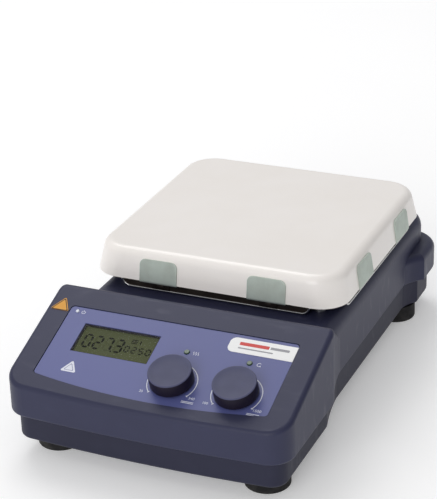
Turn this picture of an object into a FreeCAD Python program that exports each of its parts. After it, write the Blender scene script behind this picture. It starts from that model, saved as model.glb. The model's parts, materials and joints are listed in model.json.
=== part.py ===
"""Magnetic stirrer with a ceramic hot plate, as an assembly of separate pieces. Millimetres.

The frame's origin is on the bench, under the centre of the footprint: +X to the right of the
console, +Y to the rear, +Z up. Every piece is a solid of its own in parts/NAME.step.
"""
import FreeCAD, Part
import math
import os
from FreeCAD import Placement, Rotation, Vector

# Overall sizes
PLATE_SIZE = 199.8        # ceramic top, measured across the foot of its skirt
HEIGHT = 112.0            # bench to working surface
SIDE_OVERHANG = 7.6       # console and rear cap beyond the ceramic top, each side
CONSOLE_DEPTH = 99.0      # front face to the ridge of the console
PLATE_SETBACK = 31.1      # ridge of the console to the front of the ceramic top
REAR_OVERHANG = 30.1      # rear face behind the ceramic top

# Housing
WALL = 3.0
BASE_Z = 13.0             # underside of the lower housing
SPLIT_Z = 34.0            # joint between the lower and the upper housing
DECK_DROP = 32.0          # working surface down to the deck under it
RIDGE_RISE = 13.2         # ridge of the console above the deck
TILT = 19.4               # slope of the control panel, degrees
BACK_TILT = 33.4          # slope behind the ridge, degrees
BOW = 4.0                 # bulge of the front face
FRONT_CORNER_R = 17.6
REAR_CORNER_R = 27.0
RIDGE_R = 6.0             # rounding along the ridge
RIM_R = 3.5               # rounding round the control panel and down behind it
CREASE_R = 12.0           # softening where the console's side turns into its sweep
WAIST_INSET = 11.5        # sides of the waist, inside the console's sides
SHOULDER_R = 12.0         # rounding of the deck's edges
LOWER_STEP = 5.5          # lower housing inside the upper one at console and rear cap
LOWER_WAIST_STEP = 1.5    # the same at the waist
FLANK_LENGTH = 97.0       # straight side of the console, from the front face
FLARE_LENGTH = 62.0       # run of the hollow sweep from console to waist
REAR_FLANK = 50.0         # straight side of the rear cap and its corner, from the rear face
REAR_FLARE = 24.0         # run of the sweep from waist to rear cap
REAR_CAP_DROP = 23.0      # top of the rear cap below the deck
REAR_CAP_R = 6.0
FLARE_BITE = 1.0          # depth to which a sweep runs into the waist
EDGE_R = 2.5              # rounding along the joint between the housings
PAN_R = 3.0               # rounding of the lower housing's foot

# Control panel, in its own plane: u to the right, v up the slope, n out of the panel
OVERLAY_INSET = 19.0      # side of the console to the side of the overlay
OVERLAY_V = (14.0, 81.0)
OVERLAY_BOW = 7.5
OVERLAY_R = 3.0
OVERLAY_T = 0.8
OVERLAY_SINK = 0.5        # top of the overlay below the console's surface
OVERLAY_GAP = 0.4         # round the overlay in its recess
DISPLAY_SIZE = (60.0, 27.5)
DISPLAY_EDGE = 17.0       # left side of the overlay to the display
DISPLAY_V = 39.5
KNOB_D = 31.5
KNOB_H = 10.3
KNOB_V = 28.0
KNOB_EDGE = 27.2          # right side of the overlay to the stir knob's axis
KNOB_PITCH = 48.0
KNOB_LIFT = 1.2           # skirt of a knob above the panel
KNOB_EDGE_R = 1.2
KNOB_CAP = 2.5            # knob above the end of its shaft
KNOB_HUB_WALL = 2.5
PRESS_TRAVEL = 0.8
SHAFT_D = 6.0
SHAFT_FLAT_V = 1.5        # flat on the knob's shaft, from its axis
BUSH_D = 7.0
BUSH_TOP = 2.5
NUT_AF = 10.0
NUT_T = 2.0
ENCODER = (12.4, 12.4, 7.5)
PLUNGER_D = 6.0
PLUNGER_T = 1.4
WELL_FLOOR = 1.2          # encoder's base under the plunger's well
WELL_ROOF = 1.5
LENS_D = 4.2
LENS_V = 56.8
LENS_SHIFT = (0.8, 1.5)   # heat and stir lens, to the left of their knobs' axes
LENS_RISE = 0.8           # lens above the overlay
LENS_EDGE_R = 0.6
LAMP_T = 2.5
POWER_LENS = (6.0, 76.6)  # from the overlay's left side, and up the slope
POWER_LENS_D = 2.8
BADGE_SIZE = (49.5, 13.6)
BADGE_V = 64.4
STICKER_T = 0.3
LABEL_SIDE = 15.0
LABEL_EDGE = 11.0         # side of the console to the middle of the label
LABEL_V = 74.6
BOARD_DEPTH = 15.0        # console's surface down to the control board
BOARD_T = 1.6
BOARD_MARGIN = 5.0        # control board inside the overlay's sides
BOARD_V = (16.0, 79.0)
BOARD_BOSS_INSET = 5.0
BOARD_TOP_BOSS_U = 40.0
LCD_MARGIN = (4.0, 2.6)
PLUG = (4.0, 6.0, 5.0)     # ribbon cable's plug: wider than the cable by, depth, height
PLUG_V = 10.0             # its middle below the board's top edge

# Ceramic top and what carries it
PLATE_SKIRT = 22.85       # height of the ceramic top
PLATE_CORNER_R = 22.0
PLATE_TOP_CORNER_R = 25.0
PLATE_DRAFT = 3.5         # skirt leans in by this much over its height
PLATE_EDGE_R = 7.0
PLATE_T = 6.0
SKIRT_T = 5.0
CARRIER_T = 1.5
CARRIER_REACH = 4.7       # edge of the carrier inside the foot of the skirt
FLANGE_DROP = 8.5
FLANGE_HALF = 75.0
FLANGE_R = 8.0
CLIP_W = 30.0
CLIP_T = 1.0
CLIP_H = 17.5
CLIP_OFFSET = 43.0
CLIP_R = 4.5
CLIP_TAB = (14.0, 6.0)
RIVET_D = 3.0
RIVET_HEAD = (5.1, 0.8)   # diameter and height
RIVET_TAIL_D = 4.5
STANDOFF_D = 9.0
STANDOFF_INSET = (22.0, 18.0)
HEATER_D = 160.0
HEATER_T = 3.0
PAD_SIZE = 160.0
PAD_CORNER_R = 20.0
SENSOR_D = 5.0
SENSOR_L = 30.0
THERMOSTAT_D = 16.0
THERMOSTAT_H = 5.5
THERMOSTAT_GAP = 4.0      # opening in the deck to the thermostat

# Stirring drive
MOTOR_D = 62.0
MOTOR_H = 40.0
MOTOR_WALL = 2.0
BRACKET_HALF = 48.0
BRACKET_T = 2.0
BRACKET_DROP = 5.0        # deck's underside to the bracket
BRACKET_HOLE = 40.0
BRACKET_R = 8.0
HUB_ROOM = 5.0            # round the hub in the bracket's opening
MOTOR_SHAFT_D = 6.0
BEARING_D = 19.0
BEARING_T = 6.0
BEARING_RING = 2.25       # thickness of a bearing's rings
BALLS = 7
BEARING_LIP = 1.0         # end plate above the upper bearing
ROTOR_D = 33.0
AIR_GAP = 0.5
ROTOR_H = 22.0
ROTOR_CARRIER_D = 76.0
ROTOR_CARRIER_T = 3.0
HUB_D = 14.0
HUB_LIFT = 2.0            # hub above the bracket
DECK_MARGIN = 4.0         # round the magnet carrier in the deck's opening
MAGNET = (16.0, 22.0, 4.5)
MAGNET_RADIUS = 24.0
MAGNET_CLEAR = 1.9        # magnets below the carrier of the ceramic top

# Rear panel
REAR_PANEL = (150.0, 32.0)
REAR_PANEL_Z = 53.0
REAR_PANEL_T = 2.0
REAR_PANEL_R = 3.0
REAR_LEDGE = (3.0, 1.5)   # ledge that the panel seats on, at its sides and along it
REAR_POCKET = 5.0
INLET_X = -46.0
INLET_FLANGE = (50.0, 30.0, 2.5)
INLET_R = 2.0
INLET_BEVEL = 4.0         # cut corners of the mouth
INLET_BODY = (28.0, 27.5, 23.0)
INLET_MOUTH = (24.6, 16.4, 18.0)
INLET_MOUTH_RISE = 4.4
BLADE = (2.0, 4.0, 15.0)
BLADE_PITCH = 7.0
BLADE_STAGGER = 2.0       # middle blade above, outer ones below the mouth's middle
DRAWER = (22.0, 6.4, 20.0)
DRAWER_DROP = 9.0
DRAWER_WALL = 1.5
DRAWER_FLOOR = 1.2
DRAWER_LIP = (14.0, 1.2, 1.5)
FUSE_D = 5.0
FUSE_GLASS_D = 4.4
FUSE_CAP = 4.0
SWITCH_X = 4.0
SWITCH_FLANGE = (21.0, 30.0, 1.5)
SWITCH_TUBE = (19.0, 28.0, 14.0)
SWITCH_R = 1.5
SWITCH_FLOOR = 2.0
PIVOT_DEPTH = 5.0         # rocker's pivot behind the panel's face
PIN_D = 3.0
PIN_SEAT = 1.0            # pin's holes in the tube's walls
ROCKER = (14.6, 12.6)     # width, and radius of its ends about the pivot
ROCKER_FACE = 6.0         # ends of the face above the pivot
ROCKER_DIP = 3.4          # middle of the face above the pivot
ROCKER_LOW = 4.0          # underside below the pivot
ROCKER_THROW = 16.0
SERIAL_X = 38.0
SERIAL_FLANGE = (31.0, 12.6, 1.0)
SERIAL_SHELL = (17.0, 8.4, 4.0)
SERIAL_SHELL_R = 2.5
SERIAL_SHELL_T = 0.6
SERIAL_BODY = 10.0        # depth behind the panel
CONTACT_D = 1.1
CONTACT_PITCH = 2.77
CONTACT_ROW = 1.4         # rows of contacts from the middle
POST = (4.6, 2.5)         # diameter and height of the locking posts
POST_X = 12.5
PROBE_X = 64.0
PROBE_D = 12.0
PROBE_FLANGE_T = 2.0
PROBE_NECK_D = 10.0
PROBE_DEPTH = 14.0
PROBE_RIM = (8.8, 1.6)    # diameter and height
PROBE_BORE_DEPTH = 10.0
PROBE_BORE = 6.4
ROD_SOCKET = (-74.0, 20.0)  # from the middle, and in front of the rear face
ROD_THREAD_D = 10.0
ROD_SOCKET_D = 16.0
ROD_SOCKET_L = 30.0
ROD_COLLAR = (17.0, 1.2)  # diameter and height above the deck

# Power supply
POWER_BOARD = (120.0, 54.0)
POWER_BOARD_Z = 24.0
POWER_BOARD_GAP = 34.0    # rear face of the panel's space to the board
POWER_BOARD_HOLE = 5.0    # in from the board's edges
TRANSFORMER = (46.0, 38.0, 34.0)
TRANSFORMER_EDGE = 10.0   # board's left edge to the transformer
BOBBIN = (0.7, 0.64)      # share of the core's width and height
HEAT_SINK = (32.0, 12.0, 24.0)
HEAT_SINK_PLACE = (14.0, 32.0)  # right side in from the board's right edge, front from its front edge
SINK_BASE_T = 3.0
FINS = 6
FIN_T = 1.5
CAPACITOR = (12.0, 20.0)
CAPACITOR_PLACES = ((24.0, 14.0), (40.0, 14.0))
RELAY = (14.0, 10.0, 14.0)
RELAY_PLACE = (54.0, 16.0)
RIBBON = (24.0, 1.0)
RIBBON_LIFT = 2.0         # ribbon cable above the floor of the housing

# Feet and fasteners
FOOT_D = 33.0
FOOT_EDGE_R = 1.5
FOOT_SEAT = 4.0           # rubber between a foot's screw and the housing
FOOT_POST = 6.0
FOOT_FRONT = (27.0, 36.0)  # in from the console's side and back from the front face
FOOT_REAR = (24.5, 50.0)   # in from the rear cap's side and forward from the rear face
SCREW_D = 4.0
SCREW_HEAD_D = 7.5
SCREW_HEAD_T = 2.4
BOSS_D = 10.0
SMALL_BOSS_D = 8.0
BOARD_GRIP = 6.0          # thread of a board's screws in their bosses
HEAD_ROOM = 0.8           # round a screw's head in its well, across
WELL = 8.0                # depth of the wells under the housing
GRIP = 12.0               # housing screws' thread in the upper housing
SCREWS_FRONT = (15.5, 27.0)   # in from the side, back from the front face
SCREWS_MIDDLE = (12.0, 58.0)  # in from the waist's side, forward of the ceramic top's centre
SCREWS_REAR = (19.5, 25.0)    # in from the side, forward from the rear face

# Clearances
GAP = 0.3                 # between pieces that move past each other
FIT = 0.05                # radial, a shaft in its bore
SLACK = 0.1               # round a piece that drops into a pocket

# Places worked out from the sizes
PLATE_HALF = PLATE_SIZE / 2
HALF_W = PLATE_HALF + SIDE_OVERHANG
DEPTH = CONSOLE_DEPTH + PLATE_SETBACK + PLATE_SIZE + REAR_OVERHANG
FRONT_Y = -DEPTH / 2
REAR_Y = DEPTH / 2
RIDGE_Y = FRONT_Y + CONSOLE_DEPTH
PLATE_Y = REAR_Y - REAR_OVERHANG - PLATE_HALF
DECK_Z = HEIGHT - DECK_DROP
CEILING_Z = DECK_Z - WALL
RIDGE_Z = DECK_Z + RIDGE_RISE
PANEL_Y = FRONT_Y + BOW
PANEL_Z = RIDGE_Z - (RIDGE_Y - PANEL_Y) * math.tan(math.radians(TILT))
WAIST_HALF = HALF_W - WAIST_INSET
WAIST_FRONT_Y = RIDGE_Y - 15.0
OVERLAY_HALF = HALF_W - OVERLAY_INSET
STIR_U = OVERLAY_HALF - KNOB_EDGE
HEAT_U = STIR_U - KNOB_PITCH
DISPLAY_U = -OVERLAY_HALF + DISPLAY_EDGE
BOARD_HALF = OVERLAY_HALF - BOARD_MARGIN
SKIRT_Z = HEIGHT - PLATE_SKIRT
CARRIER_HALF = PLATE_HALF - CARRIER_REACH
CARRIER_Z = SKIRT_Z - CARRIER_T
BRACKET_Z = CEILING_Z - BRACKET_DROP - BRACKET_T
MOTOR_Z = BRACKET_Z - MOTOR_H
UPPER_BEARING_Z = BRACKET_Z - BEARING_LIP - BEARING_T
MAGNET_TOP_Z = CARRIER_Z - MAGNET_CLEAR
ROTOR_CARRIER_Z = MAGNET_TOP_Z - MAGNET[2] - ROTOR_CARRIER_T
FLOOR_Z = BASE_Z + WALL
REAR_PANEL_Y = REAR_Y - REAR_POCKET
STANDOFFS = [(sx * (PLATE_HALF - STANDOFF_INSET[0]), PLATE_Y + sy * (PLATE_HALF - STANDOFF_INSET[1]))
             for sx in (-1, 1) for sy in (-1, 1)]
FEET = {
    "foot_front_left": (-HALF_W + FOOT_FRONT[0], FRONT_Y + FOOT_FRONT[1]),
    "foot_front_right": (HALF_W - FOOT_FRONT[0], FRONT_Y + FOOT_FRONT[1]),
    "foot_rear_left": (-HALF_W + FOOT_REAR[0], REAR_Y - FOOT_REAR[1]),
    "foot_rear_right": (HALF_W - FOOT_REAR[0], REAR_Y - FOOT_REAR[1]),
}
HOUSING_SCREWS = [(sx * x, y) for sx in (-1, 1) for x, y in
                  ((HALF_W - SCREWS_FRONT[0], FRONT_Y + SCREWS_FRONT[1]),
                   (WAIST_HALF - SCREWS_MIDDLE[0], PLATE_Y - SCREWS_MIDDLE[1]),
                   (HALF_W - SCREWS_REAR[0], REAR_Y - SCREWS_REAR[1]))]
BRACKET_SCREWS = [(sx * BRACKET_HOLE, PLATE_Y + sy * BRACKET_HOLE) for sx in (-1, 1) for sy in (-1, 1)]


# Basic shapes

def block(x0, x1, y0, y1, z0, z1):
    return Part.makeBox(x1 - x0, y1 - y0, z1 - z0, Vector(x0, y0, z0))


def centred(size, x, y, z0):
    """A block of the given width, depth and height, centred on x, y and standing on z0."""
    return block(x - size[0] / 2, x + size[0] / 2, y - size[1] / 2, y + size[1] / 2, z0, z0 + size[2])


def disc(diameter, z0, z1, x=0.0, y=0.0):
    return Part.makeCylinder(diameter / 2, z1 - z0, Vector(x, y, z0))


def ring(outer, inner, z0, z1, x=0.0, y=0.0):
    return disc(outer, z0, z1, x, y).cut(disc(inner, z0 - 1, z1 + 1, x, y))


def fused(shapes):
    first, *others = shapes
    return first.multiFuse(others).removeSplitter() if others else first


def group(shapes):
    return Part.makeCompound(shapes)


def upright_edges(shape):
    """Straight edges of a shape that run along Z."""
    return [e for e in shape.Edges if len(e.Vertexes) == 2
            and abs(e.Vertexes[0].X - e.Vertexes[1].X) < 1e-6
            and abs(e.Vertexes[0].Y - e.Vertexes[1].Y) < 1e-6]


def rounded(x_half, y_half, z0, z1, radius, x=0.0, y=0.0):
    """An upright prism on a rectangle with rounded corners."""
    prism = block(x - x_half, x + x_half, y - y_half, y + y_half, z0, z1)
    return prism.makeFillet(radius, upright_edges(prism))


def edges_at(shape, z):
    """Edges of a shape that lie wholly at one height."""
    return [e for e in shape.Edges
            if abs(e.BoundBox.ZMin - z) < 1e-4 and abs(e.BoundBox.ZMax - z) < 1e-4]


def on_panel(shape, u=0.0, v=0.0):
    """Move a shape from the control panel's own axes to its place on the slope."""
    moved = shape.copy()
    moved.translate(Vector(u, v, 0))
    moved.Placement = Placement(Vector(0, PANEL_Y, PANEL_Z), Rotation(Vector(1, 0, 0), TILT)).multiply(
        moved.Placement)
    return moved


def to_side(shape, quarter):
    """Turn a shape made for the right side of the ceramic top by quarter turns about its centre."""
    moved = shape.copy()
    moved.rotate(Vector(0, PLATE_Y, 0), Vector(0, 0, 1), 90 * quarter)
    return moved


def to_rear(shape, x, z=REAR_PANEL_Z):
    """Move a shape made with its face up so that it faces rearwards from the rear panel."""
    moved = shape.copy()
    moved.Placement = Placement(Vector(x, REAR_PANEL_Y, z), Rotation(Vector(1, 0, 0), -90)).multiply(
        moved.Placement)
    return moved


def screw(x, y, z, length, up=True):
    """A pan-head screw whose head seats at z and whose shank runs up, or down, from there."""
    if up:
        return disc(SCREW_HEAD_D, z - SCREW_HEAD_T, z, x, y).fuse(disc(SCREW_D, z, z + length, x, y))
    return disc(SCREW_HEAD_D, z, z + SCREW_HEAD_T, x, y).fuse(disc(SCREW_D, z - length, z, x, y))


# Outlines of the housing

def sweep(x_side, y_side, x_waist, y_waist):
    """Hollow arc from the side to the waist, which it meets without a corner."""
    across, along = x_side - x_waist, y_side - y_waist
    radius = (across ** 2 + along ** 2) / (2 * abs(across))
    out = 1 if across > 0 else -1
    centre_x = x_waist + out * radius
    start = math.atan2(along, x_side - centre_x)
    end = math.pi if out > 0 else 0.0
    if start - end > math.pi:
        start -= 2 * math.pi
    if end - start > math.pi:
        start += 2 * math.pi
    middle = (start + end) / 2
    return Part.Arc(Vector(x_side, y_side, 0),
                    Vector(centre_x + radius * math.cos(middle), y_waist + radius * math.sin(middle), 0),
                    Vector(x_waist, y_waist, 0)).toShape()


def console_prism(inset, waist_inset, z0, z1):
    """Console with a bowed front and sweeps to the waist, between two heights."""
    half, waist = HALF_W - inset, WAIST_HALF - waist_inset - FLARE_BITE
    front, flank = PANEL_Y + inset, FRONT_Y + FLANK_LENGTH
    end = flank + FLARE_LENGTH
    edges = [
        Part.Arc(Vector(-half, front, 0), Vector(0, front - BOW, 0), Vector(half, front, 0)).toShape(),
        Part.LineSegment(Vector(half, front, 0), Vector(half, flank, 0)).toShape(),
        sweep(half, flank, waist, end),
        Part.LineSegment(Vector(waist, end, 0), Vector(-waist, end, 0)).toShape(),
        sweep(-half, flank, -waist, end),
        Part.LineSegment(Vector(-half, flank, 0), Vector(-half, front, 0)).toShape(),
    ]
    prism = Part.Face(Part.Wire(Part.__sortEdges__(edges))).extrude(Vector(0, 0, z1 - z0))
    prism.translate(Vector(0, 0, z0))
    corners = [e for e in upright_edges(prism) if e.Vertexes[0].Y < front + 1]
    prism = prism.makeFillet(FRONT_CORNER_R - inset, corners)
    return prism.makeFillet(CREASE_R, [e for e in upright_edges(prism) if abs(e.Vertexes[0].Y - flank) < 0.1])


def rear_prism(inset, waist_inset, z0, z1):
    """Rear cap with sweeps from the waist, between two heights."""
    half, waist = HALF_W - inset, WAIST_HALF - waist_inset - FLARE_BITE
    rear, flank = REAR_Y - inset, REAR_Y - REAR_FLANK
    start = flank - REAR_FLARE
    edges = [
        Part.LineSegment(Vector(-waist, start, 0), Vector(waist, start, 0)).toShape(),
        sweep(half, flank, waist, start),
        Part.LineSegment(Vector(half, flank, 0), Vector(half, rear, 0)).toShape(),
        Part.LineSegment(Vector(half, rear, 0), Vector(-half, rear, 0)).toShape(),
        Part.LineSegment(Vector(-half, rear, 0), Vector(-half, flank, 0)).toShape(),
        sweep(-half, flank, -waist, start),
    ]
    prism = Part.Face(Part.Wire(Part.__sortEdges__(edges))).extrude(Vector(0, 0, z1 - z0))
    prism.translate(Vector(0, 0, z0))
    corners = [e for e in upright_edges(prism) if e.Vertexes[0].Y > rear - 1]
    return prism.makeFillet(REAR_CORNER_R - inset, corners)


def waist_prism(inset, rear_inset, z0, z1):
    """Straight waist from inside the console to the rear face, between two heights."""
    half, rear = WAIST_HALF - inset, REAR_Y - rear_inset
    prism = block(-half, half, WAIST_FRONT_Y, rear, z0, z1)
    corners = [e for e in upright_edges(prism) if e.Vertexes[0].Y > rear - 1]
    return prism.makeFillet(REAR_CORNER_R - rear_inset, corners)


def console_profile(inset, z0):
    """Side view of the console, as a slab across the whole width."""
    tilt, back = math.radians(TILT), math.radians(BACK_TILT)
    drop = inset * math.cos((back - tilt) / 2) / math.cos((back + tilt) / 2)
    shift = inset * math.sin((back - tilt) / 2) / math.cos((back + tilt) / 2)
    ridge_y, ridge_z = RIDGE_Y - shift, RIDGE_Z - drop
    y0, y1 = FRONT_Y - 1, FRONT_Y + FLANK_LENGTH + FLARE_LENGTH + 1
    points = [Vector(-HALF_W - 1, y, z) for y, z in (
        (y0, z0), (y0, ridge_z - (ridge_y - y0) * math.tan(tilt)), (ridge_y, ridge_z),
        (y1, ridge_z - (y1 - ridge_y) * math.tan(back)), (y1, z0))]
    slab = Part.Face(Part.makePolygon(points + points[:1])).extrude(Vector(2 * HALF_W + 2, 0, 0))
    return slab.makeFillet(RIDGE_R - inset, edges_at(slab, ridge_z))


def panel_rim(console):
    """Edges round the console's top, from the sweep's end on one side to its end on the other."""
    tops = [f for f in console.Faces if f.normalAt(*middle_of(f)).z > 0.5]
    end = FRONT_Y + FLANK_LENGTH + FLARE_LENGTH
    rim = []
    for edge in [e for f in tops for e in f.Edges if e.BoundBox.YMin < end - 0.1]:
        if sum(any(edge.isSame(other) for other in f.Edges) for f in tops) == 1:
            rim.append(edge)
    return rim


def middle_of(face):
    """Parameters of a face's middle."""
    u0, u1, v0, v1 = face.ParameterRange
    return (u0 + u1) / 2, (v0 + v1) / 2


def upper_body(inset, z0, soft):
    """The upper housing's form: console, waist and rear cap. A soft form has its edges rounded."""
    top = RIDGE_Z + 10
    console = console_prism(inset, inset, z0, top).common(console_profile(inset, z0))
    waist = waist_prism(inset, inset, z0, DECK_Z - inset)
    waist = waist.makeFillet(SHOULDER_R - inset, [
        e for e in edges_at(waist, DECK_Z - inset) if e.BoundBox.YMax > WAIST_FRONT_Y + 1])
    rear_top = DECK_Z - REAR_CAP_DROP - inset
    rear = rear_prism(inset, inset, z0, rear_top)
    if soft:
        console = console.makeFillet(RIM_R, panel_rim(console))
        console = console.makeFillet(EDGE_R, outer_run(console, z0))
        rear = rear.makeFillet(REAR_CAP_R, outer_run(rear, rear_top))
        rear = rear.makeFillet(EDGE_R, outer_run(rear, z0))
        waist = waist.makeFillet(EDGE_R, outer_run(waist, z0))
    return fused([console, waist, rear])


def outer_run(shape, z):
    """Edges at one height, without the straight one across that lies inside the next form."""
    return [e for e in edges_at(shape, z)
            if not (e.BoundBox.YLength < 1e-4 and abs(e.BoundBox.YMin) < abs(REAR_Y) - LOWER_STEP - WALL - 1)]


def lower_body(inset, z0, z1, soft):
    """The lower housing's form. A soft form has its foot rounded."""
    side, waist_side = LOWER_STEP + inset, LOWER_WAIST_STEP + inset
    forms = [console_prism(side, waist_side, z0, z1), rear_prism(side, waist_side, z0, z1),
             waist_prism(waist_side, side, z0, z1)]
    if soft:
        forms = [form.makeFillet(PAN_R, outer_run(form, z0)) for form in forms]
    return fused(forms)


# Housing

def overlay_outline(z0, z1, slack=0.0):
    """Outline of the overlay, with a bowed lower edge, as a prism in the panel's axes."""
    half, low, high = OVERLAY_HALF + slack, OVERLAY_V[0] - slack, OVERLAY_V[1] + slack
    edges = [
        Part.Arc(Vector(-half, low, 0), Vector(0, low - OVERLAY_BOW, 0), Vector(half, low, 0)).toShape(),
        Part.LineSegment(Vector(half, low, 0), Vector(half, high, 0)).toShape(),
        Part.LineSegment(Vector(half, high, 0), Vector(-half, high, 0)).toShape(),
        Part.LineSegment(Vector(-half, high, 0), Vector(-half, low, 0)).toShape(),
    ]
    prism = Part.Face(Part.Wire(edges)).extrude(Vector(0, 0, z1 - z0))
    prism.translate(Vector(0, 0, z0))
    return prism.makeFillet(OVERLAY_R, upright_edges(prism))


def board_bosses():
    """Places of the control board's four bosses in the panel's plane."""
    low, high = BOARD_V[0] + BOARD_BOSS_INSET, BOARD_V[1] - BOARD_BOSS_INSET
    right = ((BOARD_HALF - BOARD_BOSS_INSET, low), (BOARD_TOP_BOSS_U, high))
    return [(sx * u, v) for sx in (-1, 1) for u, v in right]


def lens_places():
    """Place and diameter of each indicator lens."""
    return [(HEAT_U - LENS_SHIFT[0], LENS_V, LENS_D), (STIR_U - LENS_SHIFT[1], LENS_V, LENS_D),
            (-OVERLAY_HALF + POWER_LENS[0], POWER_LENS[1], POWER_LENS_D)]


def panel_cuts():
    """Recess, window and holes of the control panel."""
    cuts = [overlay_outline(-OVERLAY_SINK - OVERLAY_T, 5, OVERLAY_GAP)]
    width, height = DISPLAY_SIZE
    cuts.append(block(DISPLAY_U, DISPLAY_U + width, DISPLAY_V, DISPLAY_V + height, -WALL - 2, 1))
    for u in (HEAT_U, STIR_U):
        cuts.append(disc(BUSH_D + 2 * SLACK, -WALL - 2, 1, u, KNOB_V))
    for u, v, diameter in lens_places():
        cuts.append(disc(diameter + 2 * SLACK, -WALL - 2, 1, u, v))
    return [on_panel(cut) for cut in cuts]


def upper_housing():
    outer = upper_body(0, SPLIT_Z, True)
    cavity = upper_body(WALL, SPLIT_Z + WALL, False)
    mouth = lower_body(WALL, SPLIT_Z - 1, SPLIT_Z + WALL + 0.5, False)
    shell = outer.cut(fused([cavity, mouth]))
    bosses = [disc(BOSS_D, SPLIT_Z, RIDGE_Z, x, y).common(upper_body(WALL / 2, SPLIT_Z, False))
              for x, y in HOUSING_SCREWS]
    bosses += [disc(BOSS_D, BRACKET_Z + BRACKET_T, CEILING_Z + 1, x, y) for x, y in BRACKET_SCREWS]
    bosses += [on_panel(disc(SMALL_BOSS_D, -BOARD_DEPTH, -WALL + 1, u, v)) for u, v in board_bosses()]
    rod_x, rod_y = ROD_SOCKET[0], REAR_Y - ROD_SOCKET[1]
    bosses.append(disc(ROD_SOCKET_D + 2 * WALL, CEILING_Z - ROD_SOCKET_L + WALL, CEILING_Z + 1,
                       rod_x, rod_y).common(upper_body(WALL / 2, SPLIT_Z, False)))
    shell = shell.multiFuse(bosses)
    cuts = panel_cuts()
    cuts.append(disc(ROTOR_CARRIER_D + 2 * DECK_MARGIN, CEILING_Z - 1, DECK_Z + 1, 0, PLATE_Y))
    cuts += [disc(SCREW_D, SPLIT_Z - 1, SPLIT_Z + GRIP + 2, x, y) for x, y in HOUSING_SCREWS]
    cuts += [disc(SCREW_D, BRACKET_Z, CEILING_Z, x, y) for x, y in BRACKET_SCREWS]
    cuts += [disc(SCREW_D + 2 * SLACK, CEILING_Z - 1, DECK_Z + 1, x, y) for x, y in STANDOFFS]
    cuts += [on_panel(disc(SCREW_D, -BOARD_DEPTH - 1, -BOARD_DEPTH + BOARD_GRIP + 2, u, v))
             for u, v in board_bosses()]
    cuts.append(disc(ROD_SOCKET_D, CEILING_Z - ROD_SOCKET_L, DECK_Z + 1, rod_x, rod_y))
    width, height = REAR_PANEL
    pocket = rounded(width / 2 + SLACK, height / 2 + SLACK, -REAR_PANEL_T, REAR_POCKET + 1, REAR_PANEL_R)
    cuts.append(to_rear(pocket, 0))
    inner = rounded(width / 2 - REAR_LEDGE[0], height / 2 - REAR_LEDGE[1], -WALL - REAR_POCKET, 0,
                    REAR_PANEL_R - REAR_LEDGE[1])
    cuts.append(to_rear(inner, 0))
    shell = shell.fuse(rear_frame())
    return shell.cut(fused(cuts)).removeSplitter()


def rear_frame():
    """Frame inside the rear wall that the rear panel seats on."""
    width, height = REAR_PANEL
    frame = block(-width / 2 - WALL, width / 2 + WALL, -height / 2 - WALL / 2, height / 2 + WALL,
                  -REAR_PANEL_T - WALL, REAR_POCKET - WALL + 0.5)
    return to_rear(frame, 0).common(upper_body(WALL / 2, SPLIT_Z + WALL / 2, False))


def lower_housing():
    outer = lower_body(0, BASE_Z, SPLIT_Z, True)
    shell = outer.cut(lower_body(WALL, FLOOR_Z, SPLIT_Z + 1, False))
    posts = [disc(BOSS_D, BASE_Z, SPLIT_Z, x, y) for x, y in HOUSING_SCREWS]
    posts += [disc(BOSS_D, FLOOR_Z - 1, FLOOR_Z + FOOT_POST, x, y) for x, y in FEET.values()]
    posts += [disc(SMALL_BOSS_D, FLOOR_Z - 1, POWER_BOARD_Z, x, y) for x, y in power_board_holes()]
    shell = shell.multiFuse(posts)
    cuts = []
    for x, y in HOUSING_SCREWS:
        cuts.append(disc(SCREW_D + 2 * SLACK, BASE_Z - 1, SPLIT_Z + 1, x, y))
        cuts.append(disc(SCREW_HEAD_D + HEAD_ROOM, BASE_Z - 1, BASE_Z + WELL, x, y))
    cuts += [disc(SCREW_D, BASE_Z - 1, FLOOR_Z + FOOT_POST + 1, x, y) for x, y in FEET.values()]
    cuts += [disc(SCREW_D, FLOOR_Z, POWER_BOARD_Z + 1, x, y) for x, y in power_board_holes()]
    return shell.cut(fused(cuts)).removeSplitter()


def housing_screws():
    seat = BASE_Z + WELL
    return group([screw(x, y, seat, SPLIT_Z + GRIP - seat) for x, y in HOUSING_SCREWS])


def foot(x, y):
    """Rubber foot with a recess for its screw."""
    body = disc(FOOT_D, 0, BASE_Z, x, y)
    body = body.makeFillet(FOOT_EDGE_R, edges_at(body, 0))
    recess = disc(SCREW_HEAD_D + HEAD_ROOM, -1, BASE_Z - FOOT_SEAT, x, y)
    return body.cut(recess).cut(disc(SCREW_D + 2 * SLACK, 0, BASE_Z + 1, x, y))


def foot_screws():
    length = FOOT_SEAT + WALL + FOOT_POST - 1
    return group([screw(x, y, BASE_Z - FOOT_SEAT, length) for x, y in FEET.values()])


def rod_socket():
    """Threaded insert for a support rod, let into the deck behind the ceramic top."""
    x, y = ROD_SOCKET[0], REAR_Y - ROD_SOCKET[1]
    body = disc(ROD_SOCKET_D - 2 * SLACK, CEILING_Z - ROD_SOCKET_L + WALL, DECK_Z, x, y)
    diameter, rise = ROD_COLLAR
    body = body.fuse(disc(diameter, DECK_Z, DECK_Z + rise, x, y))
    return body.cut(disc(ROD_THREAD_D, CEILING_Z - ROD_SOCKET_L + 2 * WALL, DECK_Z + 2, x, y))


# Control panel

def panel_overlay():
    film = overlay_outline(-OVERLAY_SINK - OVERLAY_T, -OVERLAY_SINK)
    width, height = DISPLAY_SIZE
    cuts = [block(DISPLAY_U, DISPLAY_U + width, DISPLAY_V, DISPLAY_V + height, -2, 1)]
    cuts += [disc(BUSH_D + 2 * SLACK, -2, 1, u, KNOB_V) for u in (HEAT_U, STIR_U)]
    cuts += [disc(diameter + 2 * SLACK, -2, 1, u, v) for u, v, diameter in lens_places()]
    return on_panel(film.cut(fused(cuts)))


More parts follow.
